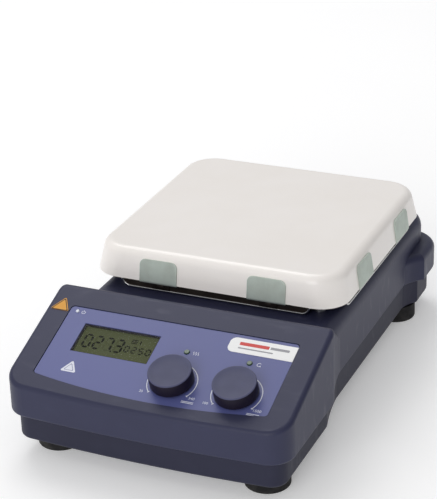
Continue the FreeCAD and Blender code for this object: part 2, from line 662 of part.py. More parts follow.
def display_window():
    width, height = DISPLAY_SIZE
    return on_panel(block(DISPLAY_U, DISPLAY_U + width, DISPLAY_V, DISPLAY_V + height,
                          -OVERLAY_SINK - OVERLAY_T, -OVERLAY_SINK))


def badge_plate():
    """Plain name plate, rounded at its left end and flush with the overlay's right side."""
    length, height = BADGE_SIZE
    right = OVERLAY_HALF
    plate = block(right - length, right, BADGE_V, BADGE_V + height, -OVERLAY_SINK, -OVERLAY_SINK + STICKER_T)
    left = [e for e in upright_edges(plate) if e.Vertexes[0].X < right - 1]
    return on_panel(plate.makeFillet(height / 3, left))


def hot_surface_label():
    """Triangular sticker on the console's frame, left of the overlay."""
    x, height = -HALF_W + LABEL_EDGE, LABEL_SIDE * math.sqrt(3) / 2
    corners = [Vector(x - LABEL_SIDE / 2, LABEL_V, 0), Vector(x + LABEL_SIDE / 2, LABEL_V, 0),
               Vector(x, LABEL_V + height, 0)]
    prism = Part.Face(Part.makePolygon(corners + corners[:1])).extrude(Vector(0, 0, STICKER_T))
    return on_panel(prism.makeFillet(1.0, upright_edges(prism)))


def indicator_lenses():
    """Three domed light pipes, from the lamps on the board to just above the overlay."""
    lenses = []
    top = LENS_RISE - OVERLAY_SINK
    for u, v, diameter in lens_places():
        pipe = disc(diameter, -BOARD_DEPTH + LAMP_T + GAP, top, u, v)
        lenses.append(on_panel(pipe.makeFillet(LENS_EDGE_R, edges_at(pipe, top))))
    return group(lenses)


def control_board():
    board = block(-BOARD_HALF, BOARD_HALF, BOARD_V[0], BOARD_V[1], -BOARD_DEPTH - BOARD_T, -BOARD_DEPTH)
    holes = [disc(SCREW_D + 2 * SLACK, -BOARD_DEPTH - 5, -BOARD_DEPTH + 1, u, v) for u, v in board_bosses()]
    lamps = [disc(diameter - 1, -BOARD_DEPTH, -BOARD_DEPTH + LAMP_T, u, v)
             for u, v, diameter in lens_places()]
    wider, deep, high = PLUG
    connector = centred((RIBBON[0] + wider, deep, high), 0, BOARD_V[1] - PLUG_V,
                        -BOARD_DEPTH - BOARD_T - high)
    return group([on_panel(shape) for shape in [board.cut(fused(holes))] + lamps + [connector]])


def board_screws():
    """Screws of the control board, up into the panel's bosses, and of the power board, down."""
    depth = -BOARD_DEPTH - BOARD_T
    top = POWER_BOARD_Z + BOARD_T
    return group([on_panel(screw(u, v, depth, BOARD_T + BOARD_GRIP)) for u, v in board_bosses()]
                 + [screw(x, y, top, BOARD_T + BOARD_GRIP, up=False) for x, y in power_board_holes()])


def lcd_module():
    """Display module behind the panel, its face in the opening."""
    width, height = DISPLAY_SIZE
    side, end = LCD_MARGIN
    case = block(DISPLAY_U - side, DISPLAY_U + width + side, DISPLAY_V - end, DISPLAY_V + height + end,
                 -BOARD_DEPTH, -WALL)
    return on_panel(case)


def encoder(u):
    """Rotary encoder with a push switch: body on the board, threaded bush through the panel."""
    width, length, height = ENCODER
    body = centred((width, length, height), u, KNOB_V, -BOARD_DEPTH)
    bush = disc(BUSH_D, -BOARD_DEPTH + height, BUSH_TOP, u, KNOB_V)
    well_z = -BOARD_DEPTH + WELL_FLOOR
    well = disc(PLUNGER_D + 2 * GAP, well_z, -BOARD_DEPTH + height - WELL_ROOF, u, KNOB_V)
    bore = disc(SHAFT_D + 2 * FIT, well_z, BUSH_TOP + 1, u, KNOB_V)
    return on_panel(body.fuse(bush).cut(well).cut(bore))


def encoder_nuts():
    nuts = []
    for u in (HEAT_U, STIR_U):
        corners = [Vector(u + NUT_AF / math.sqrt(3) * math.cos(math.radians(60 * k)),
                          KNOB_V + NUT_AF / math.sqrt(3) * math.sin(math.radians(60 * k)), -OVERLAY_SINK)
                   for k in range(6)]
        nut = Part.Face(Part.makePolygon(corners + corners[:1])).extrude(Vector(0, 0, NUT_T))
        nuts.append(on_panel(nut.cut(disc(BUSH_D, -5, 5, u, KNOB_V))))
    return group(nuts)


def plunger_z():
    """Top of a switch plunger at rest, with its travel and a clearance below it."""
    return -BOARD_DEPTH + WELL_FLOOR + PRESS_TRAVEL + GAP + PLUNGER_T


def plunger(u):
    return on_panel(disc(PLUNGER_D, plunger_z() - PLUNGER_T, plunger_z(), u, KNOB_V))


def shaft_flat(u, top):
    """Block that stands on the flat of a knob's shaft, up to a height."""
    return block(u - SHAFT_D, u + SHAFT_D, KNOB_V + SHAFT_FLAT_V, KNOB_V + SHAFT_D,
                 BUSH_TOP + PRESS_TRAVEL + 2 * GAP, top)


def knob_shaft(u):
    """Steel shaft with a flat where the knob grips it."""
    top = KNOB_LIFT + KNOB_H - KNOB_CAP
    return on_panel(disc(SHAFT_D, plunger_z() + GAP, top, u, KNOB_V).cut(shaft_flat(u, top + 1)))


def knob(u):
    """Round knob, hollow below over the bush and its nut, with a hub that grips the shaft."""
    top = KNOB_LIFT + KNOB_H
    body = disc(KNOB_D, KNOB_LIFT, top, u, KNOB_V)
    body = body.makeFillet(KNOB_EDGE_R, edges_at(body, top))
    hollow = disc(KNOB_D - 2 * WALL, KNOB_LIFT - 1, top - WALL, u, KNOB_V)
    hub = disc(SHAFT_D + 2 * KNOB_HUB_WALL, BUSH_TOP + PRESS_TRAVEL + GAP, top - 1, u, KNOB_V)
    bore = disc(SHAFT_D, 0, top - KNOB_CAP, u, KNOB_V).cut(shaft_flat(u, top))
    return on_panel(body.cut(hollow).fuse(hub).cut(bore).removeSplitter())


# Ceramic top

def skirt_outline(half, radius, z):
    """Rounded square about the centre of the ceramic top, as a wire."""
    prism = rounded(half, half, z, z + 1, radius, 0, PLATE_Y)
    face = min(prism.Faces, key=lambda f: f.CenterOfMass.z)
    return face.OuterWire


def ceramic_plate():
    """White glass-ceramic top: a flat plate with a leaning skirt and rounded edges."""
    top_half = PLATE_HALF - PLATE_DRAFT
    outer = Part.makeLoft([skirt_outline(PLATE_HALF, PLATE_CORNER_R, SKIRT_Z),
                           skirt_outline(top_half, PLATE_TOP_CORNER_R, HEIGHT)], True, True)
    outer = outer.makeFillet(PLATE_EDGE_R, edges_at(outer, HEIGHT))
    inner = Part.makeLoft([skirt_outline(PLATE_HALF - SKIRT_T, PLATE_CORNER_R - SKIRT_T, SKIRT_Z),
                           skirt_outline(top_half - SKIRT_T, PLATE_TOP_CORNER_R - SKIRT_T,
                                         HEIGHT - PLATE_T)], True, True)
    return outer.cut(inner)


def heating_element():
    z = HEIGHT - PLATE_T
    return disc(HEATER_D, z - HEATER_T, z, 0, PLATE_Y)


def insulation_pad():
    half, top = PAD_SIZE / 2, HEIGHT - PLATE_T - HEATER_T
    pad = rounded(half, half, SKIRT_Z, top, PAD_CORNER_R, 0, PLATE_Y)
    return pad.cut(sensor_bar(2 * SLACK))


def sensor_bar(slack=0.0):
    """Room of the temperature sensor, against the underside of the heating element."""
    z = HEIGHT - PLATE_T - HEATER_T - SENSOR_D / 2
    size = SENSOR_D + slack
    return Part.makeCylinder(size / 2, SENSOR_L + slack, Vector(-SENSOR_L / 2 - slack / 2, PLATE_Y, z),
                             Vector(1, 0, 0))


def plate_sensor():
    return sensor_bar()


def plate_carrier():
    """Polished steel carrier: a flat sheet with a turned-down flange on each side."""
    sheet = rounded(CARRIER_HALF, CARRIER_HALF, CARRIER_Z, SKIRT_Z, PLATE_CORNER_R - CARRIER_REACH,
                    0, PLATE_Y)
    flange = block(CARRIER_HALF - CARRIER_T, CARRIER_HALF, -FLANGE_HALF, FLANGE_HALF,
                   SKIRT_Z - FLANGE_DROP, SKIRT_Z)
    low_corners = [e for e in flange.Edges if e.BoundBox.XLength > CARRIER_T / 2
                   and e.BoundBox.ZMax < SKIRT_Z - 1 and e.BoundBox.YLength < 1]
    flange = flange.makeFillet(min(FLANGE_R, FLANGE_DROP - CARRIER_T), low_corners)
    flange.translate(Vector(0, PLATE_Y, 0))
    carrier = fused([sheet] + [to_side(flange, k) for k in range(4)])
    cuts = [disc(SCREW_D + 2 * SLACK, CARRIER_Z - 1, SKIRT_Z + 1, x, y) for x, y in STANDOFFS]
    cuts += [to_side(rivet_hole(side), k) for k in range(4) for side in (-1, 1)]
    return carrier.cut(fused(cuts))


def rivet_axis_z():
    return SKIRT_Z - CLIP_T - SLACK - CLIP_TAB[1] / 2


def rivet_hole(side):
    start = Vector(CARRIER_HALF - 2 * CARRIER_T, PLATE_Y + side * CLIP_OFFSET, rivet_axis_z())
    return Part.makeCylinder(RIVET_D / 2, 3 * CARRIER_T + CLIP_T, start, Vector(1, 0, 0))


def clip(side):
    """Spring-steel clip on the right side: up the skirt, under its foot, and down the carrier."""
    lean = PLATE_DRAFT / PLATE_SKIRT
    foot_x, low, high = PLATE_HALF + SLACK, SKIRT_Z - SLACK, SKIRT_Z + CLIP_H
    top_x = foot_x - lean * CLIP_H
    points = [(CARRIER_HALF, low), (foot_x, low), (top_x, high), (top_x + CLIP_T, high),
              (foot_x + CLIP_T, low), (foot_x + CLIP_T, low - CLIP_T), (CARRIER_HALF, low - CLIP_T)]
    y = PLATE_Y + side * CLIP_OFFSET
    corners = [Vector(x, y - CLIP_W / 2, z) for x, z in points]
    strap = Part.Face(Part.makePolygon(corners + corners[:1])).extrude(Vector(0, CLIP_W, 0))
    window = block(PLATE_HALF - 20, PLATE_HALF + 20, y - CLIP_W / 2, y + CLIP_W / 2, low - 5, high)
    shoulders = [e for e in window.Edges if e.BoundBox.XLength > 1 and e.BoundBox.ZMin > high - 1]
    strap = strap.common(window.makeFillet(CLIP_R, shoulders))
    width, drop = CLIP_TAB
    tab = block(CARRIER_HALF, CARRIER_HALF + CLIP_T, y - width / 2, y + width / 2, low - CLIP_T - drop,
                low - CLIP_T)
    return strap.fuse(tab).cut(rivet_hole(side)).removeSplitter()


def plate_clips():
    return group([to_side(clip(side), k) for k in range(4) for side in (-1, 1)])


def clip_rivets():
    rivets = []
    for side in (-1, 1):
        y, z = PLATE_Y + side * CLIP_OFFSET, rivet_axis_z()
        inner, outer = CARRIER_HALF - CARRIER_T, CARRIER_HALF + CLIP_T
        shank = Part.makeCylinder(RIVET_D / 2, outer - inner, Vector(inner, y, z), Vector(1, 0, 0))
        diameter, height = RIVET_HEAD
        head = Part.makeCylinder(diameter / 2, height, Vector(outer, y, z), Vector(1, 0, 0))
        tail = Part.makeCylinder(RIVET_TAIL_D / 2, height, Vector(inner - height, y, z), Vector(1, 0, 0))
        rivets.append(shank.multiFuse([head, tail]).removeSplitter())
    return group([to_side(rivet, k) for k in range(4) for rivet in rivets])


def plate_standoffs():
    pillars = []
    for x, y in STANDOFFS:
        pillars.append(disc(STANDOFF_D, DECK_Z, CARRIER_Z, x, y).cut(
            disc(SCREW_D, DECK_Z - 1, CARRIER_Z + 1, x, y)))
    return group(pillars)


def standoff_screws():
    """Screws up through the deck into the pillars, and down through the carrier into them."""
    half = (CARRIER_Z - DECK_Z) / 2 - GAP
    screws = [screw(x, y, CEILING_Z, WALL + half) for x, y in STANDOFFS]
    screws += [screw(x, y, SKIRT_Z, CARRIER_T + half, up=False) for x, y in STANDOFFS]
    return group(screws)


def safety_thermostat():
    """Cut-out thermostat on the underside of the carrier, outside the magnets' circle."""
    x = ROTOR_CARRIER_D / 2 + DECK_MARGIN + THERMOSTAT_GAP + THERMOSTAT_D / 2
    return disc(THERMOSTAT_D, CARRIER_Z - THERMOSTAT_H, CARRIER_Z, x, PLATE_Y)


# Stirring drive

def motor_bracket():
    plate = rounded(BRACKET_HALF, BRACKET_HALF, BRACKET_Z, BRACKET_Z + BRACKET_T, BRACKET_R, 0, PLATE_Y)
    cuts = [disc(HUB_D + 2 * HUB_ROOM, BRACKET_Z - 1, BRACKET_Z + BRACKET_T + 1, 0, PLATE_Y)]
    cuts += [disc(SCREW_D + 2 * SLACK, BRACKET_Z - 1, BRACKET_Z + BRACKET_T + 1, x, y)
             for x, y in BRACKET_SCREWS + motor_screw_places()]
    return plate.cut(fused(cuts))


def motor_screw_places():
    reach = (HUB_D + 2 * HUB_ROOM + MOTOR_D) / 4 * math.sqrt(0.5)
    return [(sx * reach, PLATE_Y + sy * reach) for sx in (-1, 1) for sy in (-1, 1)]


def motor_can():
    """Deep-drawn can of the motor, open at the top, with a seat for the lower bearing."""
    body = disc(MOTOR_D, MOTOR_Z, UPPER_BEARING_Z, 0, PLATE_Y)
    inside = disc(MOTOR_D - 2 * MOTOR_WALL, MOTOR_Z + BEARING_T + MOTOR_WALL, BRACKET_Z, 0, PLATE_Y)
    seat = disc(BEARING_D, MOTOR_Z + MOTOR_WALL, MOTOR_Z + MOTOR_WALL + BEARING_T + 1, 0, PLATE_Y)
    return body.cut(inside).cut(seat)


def motor_end_plate():
    """Die-cast end plate with the upper bearing's seat and four tapped holes."""
    plate = disc(MOTOR_D, UPPER_BEARING_Z, BRACKET_Z, 0, PLATE_Y)
    seat = disc(BEARING_D, UPPER_BEARING_Z - 1, BRACKET_Z - BEARING_LIP, 0, PLATE_Y)
    hole = disc(BEARING_D - 2 * BEARING_RING, BRACKET_Z - 2, BRACKET_Z + 1, 0, PLATE_Y)
    taps = [disc(SCREW_D, BRACKET_Z - 5, BRACKET_Z + 1, x, y) for x, y in motor_screw_places()]
    return plate.cut(fused([seat, hole] + taps))


def rotor_z():
    """Foot of the rotor, midway between the two bearings."""
    return (MOTOR_Z + MOTOR_WALL + BEARING_T + UPPER_BEARING_Z - ROTOR_H) / 2


def motor_stator():
    z = rotor_z()
    return ring(MOTOR_D - 2 * MOTOR_WALL, ROTOR_D + 2 * AIR_GAP, z, z + ROTOR_H, 0, PLATE_Y)


def bearing(z):
    """Ball bearing as its two rings and its balls."""
    middle = (BEARING_D + MOTOR_SHAFT_D) / 4
    outer = ring(BEARING_D, BEARING_D - 2 * BEARING_RING, z, z + BEARING_T, 0, PLATE_Y)
    inner = ring(MOTOR_SHAFT_D + 2 * BEARING_RING, MOTOR_SHAFT_D + 2 * FIT, z, z + BEARING_T, 0, PLATE_Y)
    radius = (BEARING_D - MOTOR_SHAFT_D) / 4 - BEARING_RING
    balls = []
    for k in range(BALLS):
        angle = 2 * math.pi * k / BALLS
        x, y = middle * math.cos(angle), PLATE_Y + middle * math.sin(angle)
        balls.append(Part.makeSphere(radius, Vector(x, y, z + BEARING_T / 2)))
    return group([outer, inner] + balls)


def motor_shaft():
    return disc(MOTOR_SHAFT_D, MOTOR_Z + MOTOR_WALL + 1, ROTOR_CARRIER_Z + ROTOR_CARRIER_T, 0, PLATE_Y)


def motor_rotor():
    z = rotor_z()
    return ring(ROTOR_D, MOTOR_SHAFT_D, z, z + ROTOR_H, 0, PLATE_Y)


def magnet_carrier():
    """Disc on the motor's shaft that carries the magnets, with a hub and its grub screw's hole."""
    z = ROTOR_CARRIER_Z
    body = disc(ROTOR_CARRIER_D, z, z + ROTOR_CARRIER_T, 0, PLATE_Y)
    hub_low = BRACKET_Z + BRACKET_T + HUB_LIFT
    body = body.fuse(disc(HUB_D, hub_low, z, 0, PLATE_Y))
    return body.cut(disc(MOTOR_SHAFT_D, hub_low - 1, z + ROTOR_CARRIER_T + 1, 0, PLATE_Y)).removeSplitter()


def drive_magnets():
    z = ROTOR_CARRIER_Z + ROTOR_CARRIER_T
    return group([centred(MAGNET, side * MAGNET_RADIUS, PLATE_Y, z) for side in (-1, 1)])


def bracket_screws():
    return group([screw(x, y, BRACKET_Z, BRACKET_T + BRACKET_DROP - 1) for x, y in BRACKET_SCREWS])


def motor_screws():
    z = BRACKET_Z + BRACKET_T
    return group([screw(x, y, z, BRACKET_T + 4, up=False) for x, y in motor_screw_places()])


# Power supply

def power_board_box():
    """Edges of the power board: left, right, front, rear."""
    rear = REAR_PANEL_Y - POWER_BOARD_GAP
    return -POWER_BOARD[0] / 2, POWER_BOARD[0] / 2, rear - POWER_BOARD[1], rear


def power_board_holes():
    x0, x1, y0, y1 = power_board_box()
    inset = POWER_BOARD_HOLE
    return [(x, y) for x in (x0 + inset, x1 - inset) for y in (y0 + inset, y1 - inset)]


def power_board():
    x0, x1, y0, y1 = power_board_box()
    board = block(x0, x1, y0, y1, POWER_BOARD_Z, POWER_BOARD_Z + BOARD_T)
    return board.cut(fused([disc(SCREW_D + 2 * SLACK, 0, DECK_Z, x, y) for x, y in power_board_holes()]))


def power_board_parts():
    """Heat sink with its fins, two capacitors and a relay, standing on the board."""
    _, x1, y0, _ = power_board_box()
    z = POWER_BOARD_Z + BOARD_T
    width, depth, height = HEAT_SINK
    left, front = x1 - HEAT_SINK_PLACE[0] - width, y0 + HEAT_SINK_PLACE[1]
    pitch = (width - FIN_T) / (FINS - 1)
    fins = [block(left + pitch * k, left + pitch * k + FIN_T, front, front + depth, z, z + height)
            for k in range(FINS)]
    sink = fused([block(left, left + width, front, front + depth, z, z + SINK_BASE_T)] + fins)
    diameter, rise = CAPACITOR
    capacitors = [disc(diameter, z, z + rise, x1 - dx, y0 + dy) for dx, dy in CAPACITOR_PLACES]
    relay = centred(RELAY, x1 - RELAY_PLACE[0], y0 + RELAY_PLACE[1], z)
    return group([sink, relay] + capacitors)


def transformer():
    """Laminated core with a bobbin through it."""
    x0, _, y0, y1 = power_board_box()
    z = POWER_BOARD_Z + BOARD_T
    width, depth, height = TRANSFORMER
    x, y = x0 + TRANSFORMER_EDGE + width / 2, (y0 + y1) / 2
    core = centred((width, depth / 2, height), x, y, z)
    wide, high = width * BOBBIN[0], height * BOBBIN[1]
    low = z + (height - high) / 2
    window = centred((wide, depth, high), x, y, low)
    bobbin = centred((wide - 2 * GAP, depth, high - 2 * GAP), x, y, low + GAP)
    return group([core.cut(window), bobbin])


def ribbon_cable():
    """Flat cable from the control board, down to the floor and back to the power board."""
    width, thick = RIBBON
    tilt = math.radians(TILT)
    v, n = BOARD_V[1] - PLUG_V, -BOARD_DEPTH - BOARD_T - PLUG[2]
    y = PANEL_Y + v * math.cos(tilt) - n * math.sin(tilt)
    z = PANEL_Z + v * math.sin(tilt) + n * math.cos(tilt)
    _, _, y_board, _ = power_board_box()
    low = FLOOR_Z + RIBBON_LIFT
    path = [(y, z - thick), (y, z - 12), (y + 8, low + 8), (y + 18, low), (y_board - 6, low),
            (y_board + 4, POWER_BOARD_Z - thick)]
    return strip([Vector(-width / 2, py, pz) for py, pz in path], width, thick)


def strip(path, width, thick):
    """Flat strip of one thickness along a path in a YZ plane, with round bends."""
    parts = []
    for start, end in zip(path, path[1:]):
        along = (end - start).normalize()
        side = Vector(0, -along.z, along.y) * (thick / 2)
        corners = [start + side, end + side, end - side, start - side]
        parts.append(Part.Face(Part.makePolygon(corners + corners[:1])).extrude(Vector(width, 0, 0)))
    parts += [Part.makeCylinder(thick / 2, width, point, Vector(1, 0, 0)) for point in path[1:-1]]
    return fused(parts)


# Rear panel, made face up and then turned to face rearwards

def rear_panel():
    width, height = REAR_PANEL
    panel = rounded(width / 2, height / 2, -REAR_PANEL_T, 0, REAR_PANEL_R)
    cuts = [centred((INLET_BODY[0] + 2 * SLACK, INLET_BODY[1] + 2 * SLACK, 10), INLET_X, 0, -5),
            centred((SWITCH_TUBE[0] + 2 * SLACK, SWITCH_TUBE[1] + 2 * SLACK, 10), SWITCH_X, 0, -5),
            centred((SERIAL_SHELL[0] + 2, SERIAL_SHELL[1] + 1, 10), SERIAL_X, 0, -5),
            disc(PROBE_NECK_D + 2 * SLACK, -5, 5, PROBE_X, 0)]
    return to_rear(panel.cut(fused(cuts)), 0)


def mains_inlet():
    """Appliance inlet with three blades in its mouth and a slot for the fuse drawer below."""
    flange = centred(INLET_FLANGE, 0, 0, 0)
    flange = flange.makeFillet(INLET_R, upright_edges(flange))
    width, height, length = INLET_BODY
    body = flange.fuse(centred((width, height, length), 0, 0, -length))
    mouth_w, mouth_h, depth = INLET_MOUTH
    top = INLET_FLANGE[2]
    mouth = centred((mouth_w, mouth_h, depth), 0, -INLET_MOUTH_RISE, top - depth)
    upper_corners = [e for e in upright_edges(mouth) if e.Vertexes[0].Y < -INLET_MOUTH_RISE]
    mouth = mouth.makeChamfer(INLET_BEVEL, upper_corners)
    drawer_w, drawer_h, drawer_l = DRAWER
    slot = centred((drawer_w + 2 * GAP, drawer_h + 2 * GAP, drawer_l + GAP), 0, DRAWER_DROP,
                   top - drawer_l - GAP)
    body = body.cut(mouth).cut(slot)
    blades = [centred(BLADE, x, -INLET_MOUTH_RISE + y, top - depth)
              for x, y in ((-BLADE_PITCH, BLADE_STAGGER), (0, -BLADE_STAGGER), (BLADE_PITCH, BLADE_STAGGER))]
    return to_rear(fused([body] + blades), INLET_X)


def fuse_drawer():
    """Drawer that holds the fuse, with a finger lip along its lower edge."""
    width, height, length = DRAWER
    top = INLET_FLANGE[2]
    body = centred((width, height, length), 0, DRAWER_DROP, top - length)
    trough = centred((width - 2 * DRAWER_WALL, height, length - 2 * DRAWER_WALL), 0,
                     DRAWER_DROP - DRAWER_FLOOR, top - length + DRAWER_WALL)
    lip = centred(DRAWER_LIP, 0, DRAWER_DROP + (height - DRAWER_LIP[1]) / 2, top)
    return to_rear(body.cut(trough).fuse(lip), INLET_X)


def fuse():
    """Glass fuse with a metal cap at each end, lying across the drawer's length."""
    width, height, length = DRAWER
    z = INLET_FLANGE[2] - length / 2
    y = DRAWER_DROP + height / 2 - DRAWER_FLOOR - FUSE_D / 2 - GAP / 2
    half = width / 2 - DRAWER_WALL - SLACK
    parts = [(FUSE_GLASS_D, -half + FUSE_CAP, half - FUSE_CAP), (FUSE_D, -half, -half + FUSE_CAP),
             (FUSE_D, half - FUSE_CAP, half)]
    joined = [Part.makeCylinder(d / 2, x1 - x0, Vector(x0, y, z), Vector(1, 0, 0)) for d, x0, x1 in parts]
    return to_rear(fused(joined), INLET_X)


def power_switch_frame():
    """Frame of the switch, open at the face, with holes for the rocker's pin."""
    flange = centred(SWITCH_FLANGE, 0, 0, 0)
    flange = flange.makeFillet(SWITCH_R, upright_edges(flange))
    width, height, length = SWITCH_TUBE
    body = flange.fuse(centred((width, height, length), 0, 0, -length))
    opening = centred((ROCKER[0] + 2 * GAP, 2 * (ROCKER[1] + GAP), length + 2), 0, 0, -length + SWITCH_FLOOR)
    reach = width - 2 * PIN_SEAT
    pin_hole = Part.makeCylinder(PIN_D / 2 + FIT, reach, Vector(-reach / 2, 0, -PIVOT_DEPTH), Vector(1, 0, 0))
    return to_rear(body.cut(opening).cut(pin_hole), SWITCH_X)


def power_switch_rocker():
    """Rocker with a hollow face and round ends about its pivot, tipped to the off side."""
    width, radius = ROCKER
    face = math.sqrt(radius ** 2 - ROCKER_FACE ** 2)
    back = math.sqrt(radius ** 2 - ROCKER_LOW ** 2)
    side = []
    for sign in (1, -1):
        side.append((Vector(0, sign * back, -ROCKER_LOW), Vector(0, sign * radius, 0),
                     Vector(0, sign * face, ROCKER_FACE)))
    edges = [
        Part.Arc(*side[0]).toShape(),
        Part.LineSegment(side[0][2], Vector(0, 0, ROCKER_DIP)).toShape(),
        Part.LineSegment(Vector(0, 0, ROCKER_DIP), side[1][2]).toShape(),
        Part.Arc(*reversed(side[1])).toShape(),
        Part.LineSegment(side[1][0], side[0][0]).toShape(),
    ]
    rocker = Part.Face(Part.Wire(edges)).extrude(Vector(width, 0, 0))
    rocker.translate(Vector(-width / 2, 0, 0))
    reach = SWITCH_TUBE[0] - 2 * PIN_SEAT - 2 * GAP
    rocker = rocker.fuse(Part.makeCylinder(PIN_D / 2, reach, Vector(-reach / 2, 0, 0), Vector(1, 0, 0)))
    rocker.rotate(Vector(0, 0, 0), Vector(1, 0, 0), ROCKER_THROW / 2)
    rocker.translate(Vector(0, 0, -PIVOT_DEPTH))
    return to_rear(rocker.removeSplitter(), SWITCH_X)


def serial_port():
    """Nine-way socket: flange, shell round the face, and a body behind the panel."""
    flange = centred(SERIAL_FLANGE, 0, 0, 0)
    width, height, proud = SERIAL_SHELL
    face = SERIAL_FLANGE[2]
    shell = centred((width, height, proud), 0, 0, 0)
    shell = shell.makeFillet(SERIAL_SHELL_R, upright_edges(shell))
    shell = shell.cut(rounded(width / 2 - SERIAL_SHELL_T, height / 2 - SERIAL_SHELL_T, face + 1, proud + 1,
                              SERIAL_SHELL_R - SERIAL_SHELL_T))
    holes = [disc(CONTACT_D, face / 2, proud, CONTACT_PITCH * (k - (row - 1) / 2), y)
             for row, y in ((5, -CONTACT_ROW), (4, CONTACT_ROW)) for k in range(row)]
    posts = [disc(POST[0], face, face + POST[1], side * POST_X, 0) for side in (-1, 1)]
    body = fused([flange, shell, centred((width, height - 1, SERIAL_BODY), 0, 0, -SERIAL_BODY)] + posts)
    return to_rear(body.cut(fused(holes)), SERIAL_X)


def probe_socket():
    """Round socket for an outside temperature probe."""
    top = PROBE_FLANGE_T + PROBE_RIM[1]
    body = fused([disc(PROBE_D, 0, PROBE_FLANGE_T), disc(PROBE_NECK_D, -PROBE_DEPTH, 0),
                  disc(PROBE_RIM[0], PROBE_FLANGE_T, top)])
    return to_rear(body.cut(disc(PROBE_BORE, -PROBE_BORE_DEPTH, top + 1)), PROBE_X)


def pieces():
    """Every piece of the stirrer by name."""
    made = {
        "upper_housing": upper_housing(), "lower_housing": lower_housing(),
        "housing_screws": housing_screws(), "foot_screws": foot_screws(), "rod_socket": rod_socket(),
        "panel_overlay": panel_overlay(), "display_window": display_window(), "badge_plate": badge_plate(),
        "hot_surface_label": hot_surface_label(), "indicator_lenses": indicator_lenses(),
        "control_board": control_board(), "board_screws": board_screws(),
        "lcd_module": lcd_module(), "encoder_nuts": encoder_nuts(), "ceramic_plate": ceramic_plate(),
        "heating_element": heating_element(), "insulation_pad": insulation_pad(),
        "plate_sensor": plate_sensor(), "plate_carrier": plate_carrier(), "plate_clips": plate_clips(),
        "clip_rivets": clip_rivets(), "plate_standoffs": plate_standoffs(),
        "standoff_screws": standoff_screws(), "safety_thermostat": safety_thermostat(),
        "motor_bracket": motor_bracket(), "bracket_screws": bracket_screws(), "motor_can": motor_can(),
        "motor_end_plate": motor_end_plate(), "motor_stator": motor_stator(),
        "bearing_upper": bearing(UPPER_BEARING_Z), "bearing_lower": bearing(MOTOR_Z + MOTOR_WALL),
        "motor_shaft": motor_shaft(), "motor_rotor": motor_rotor(), "magnet_carrier": magnet_carrier(),
        "drive_magnets": drive_magnets(), "motor_screws": motor_screws(), "power_board": power_board(),
        "power_board_parts": power_board_parts(), "transformer": transformer(),
        "ribbon_cable": ribbon_cable(),
        "rear_panel": rear_panel(), "mains_inlet": mains_inlet(), "fuse_drawer": fuse_drawer(),
        "fuse": fuse(), "power_switch_frame": power_switch_frame(),
        "power_switch_rocker": power_switch_rocker(), "serial_port": serial_port(),
        "probe_socket": probe_socket(),
    }
    for name, (x, y) in FEET.items():
        made[name] = foot(x, y)
    for name, u in (("heat", HEAT_U), ("stir", STIR_U)):
        made[name + "_encoder"] = encoder(u)
        made[name + "_plunger"] = plunger(u)
        made[name + "_knob_shaft"] = knob_shaft(u)
        made[name + "_knob"] = knob(u)
    return made


os.makedirs("parts", exist_ok=True)
for piece_name, piece_shape in pieces().items():
    piece_shape.exportStep("parts/" + piece_name + ".step")
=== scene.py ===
"""Looks of a laboratory hot plate and magnetic stirrer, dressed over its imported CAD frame.

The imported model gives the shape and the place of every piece. This script gives each of its
nodes a finish, adds the print, clips, screws, knobs and contacts in finer form, and sets up
the floor, the lights and the camera. Lengths are in metres.
"""

import json
import logging
import math
from dataclasses import dataclass, field
from enum import Enum
from typing import Any, ClassVar, Iterable, Optional, Sequence, Union

import bmesh
import bpy
from mathutils import Euler, Matrix, Vector


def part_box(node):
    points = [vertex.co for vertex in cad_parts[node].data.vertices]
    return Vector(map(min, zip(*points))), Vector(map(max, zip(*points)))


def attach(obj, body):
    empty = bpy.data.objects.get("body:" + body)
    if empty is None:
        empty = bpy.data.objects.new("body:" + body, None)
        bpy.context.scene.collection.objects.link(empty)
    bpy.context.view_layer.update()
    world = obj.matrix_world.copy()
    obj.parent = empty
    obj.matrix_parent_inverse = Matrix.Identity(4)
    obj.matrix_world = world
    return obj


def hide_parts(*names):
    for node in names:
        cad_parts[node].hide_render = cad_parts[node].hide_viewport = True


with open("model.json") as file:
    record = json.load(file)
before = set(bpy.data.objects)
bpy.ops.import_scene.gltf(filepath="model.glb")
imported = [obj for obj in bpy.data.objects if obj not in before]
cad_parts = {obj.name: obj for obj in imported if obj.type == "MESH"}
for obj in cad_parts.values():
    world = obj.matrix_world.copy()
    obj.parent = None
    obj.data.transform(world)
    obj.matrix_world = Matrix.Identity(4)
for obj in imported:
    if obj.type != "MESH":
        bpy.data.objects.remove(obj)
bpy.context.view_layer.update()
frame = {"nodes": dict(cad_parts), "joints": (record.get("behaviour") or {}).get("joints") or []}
LOG = logging.getLogger("stirrer")

MM = 0.001
Colour = tuple[float, float, float]
Place = tuple[float, float, float]


def tint(red: int, green: int, blue: int) -> Colour:
    """Turn a display colour into a linear one.

    Args:
        red: Red, from 0 to 255.
        green: Green, from 0 to 255.
        blue: Blue, from 0 to 255.

    Returns:
        The linear colour that shows as the one given.
    """
    def linear(level: int) -> float:
        """One level of a display colour, made linear.

        Args:
            level: The level, from 0 to 255.

        Returns:
            The linear level, from 0 to 1.
        """
        share = level / 255
        return share / 12.92 if share <= 0.04045 else ((share + 0.055) / 1.055) ** 2.4
    return linear(red), linear(green), linear(blue)


# Node trees


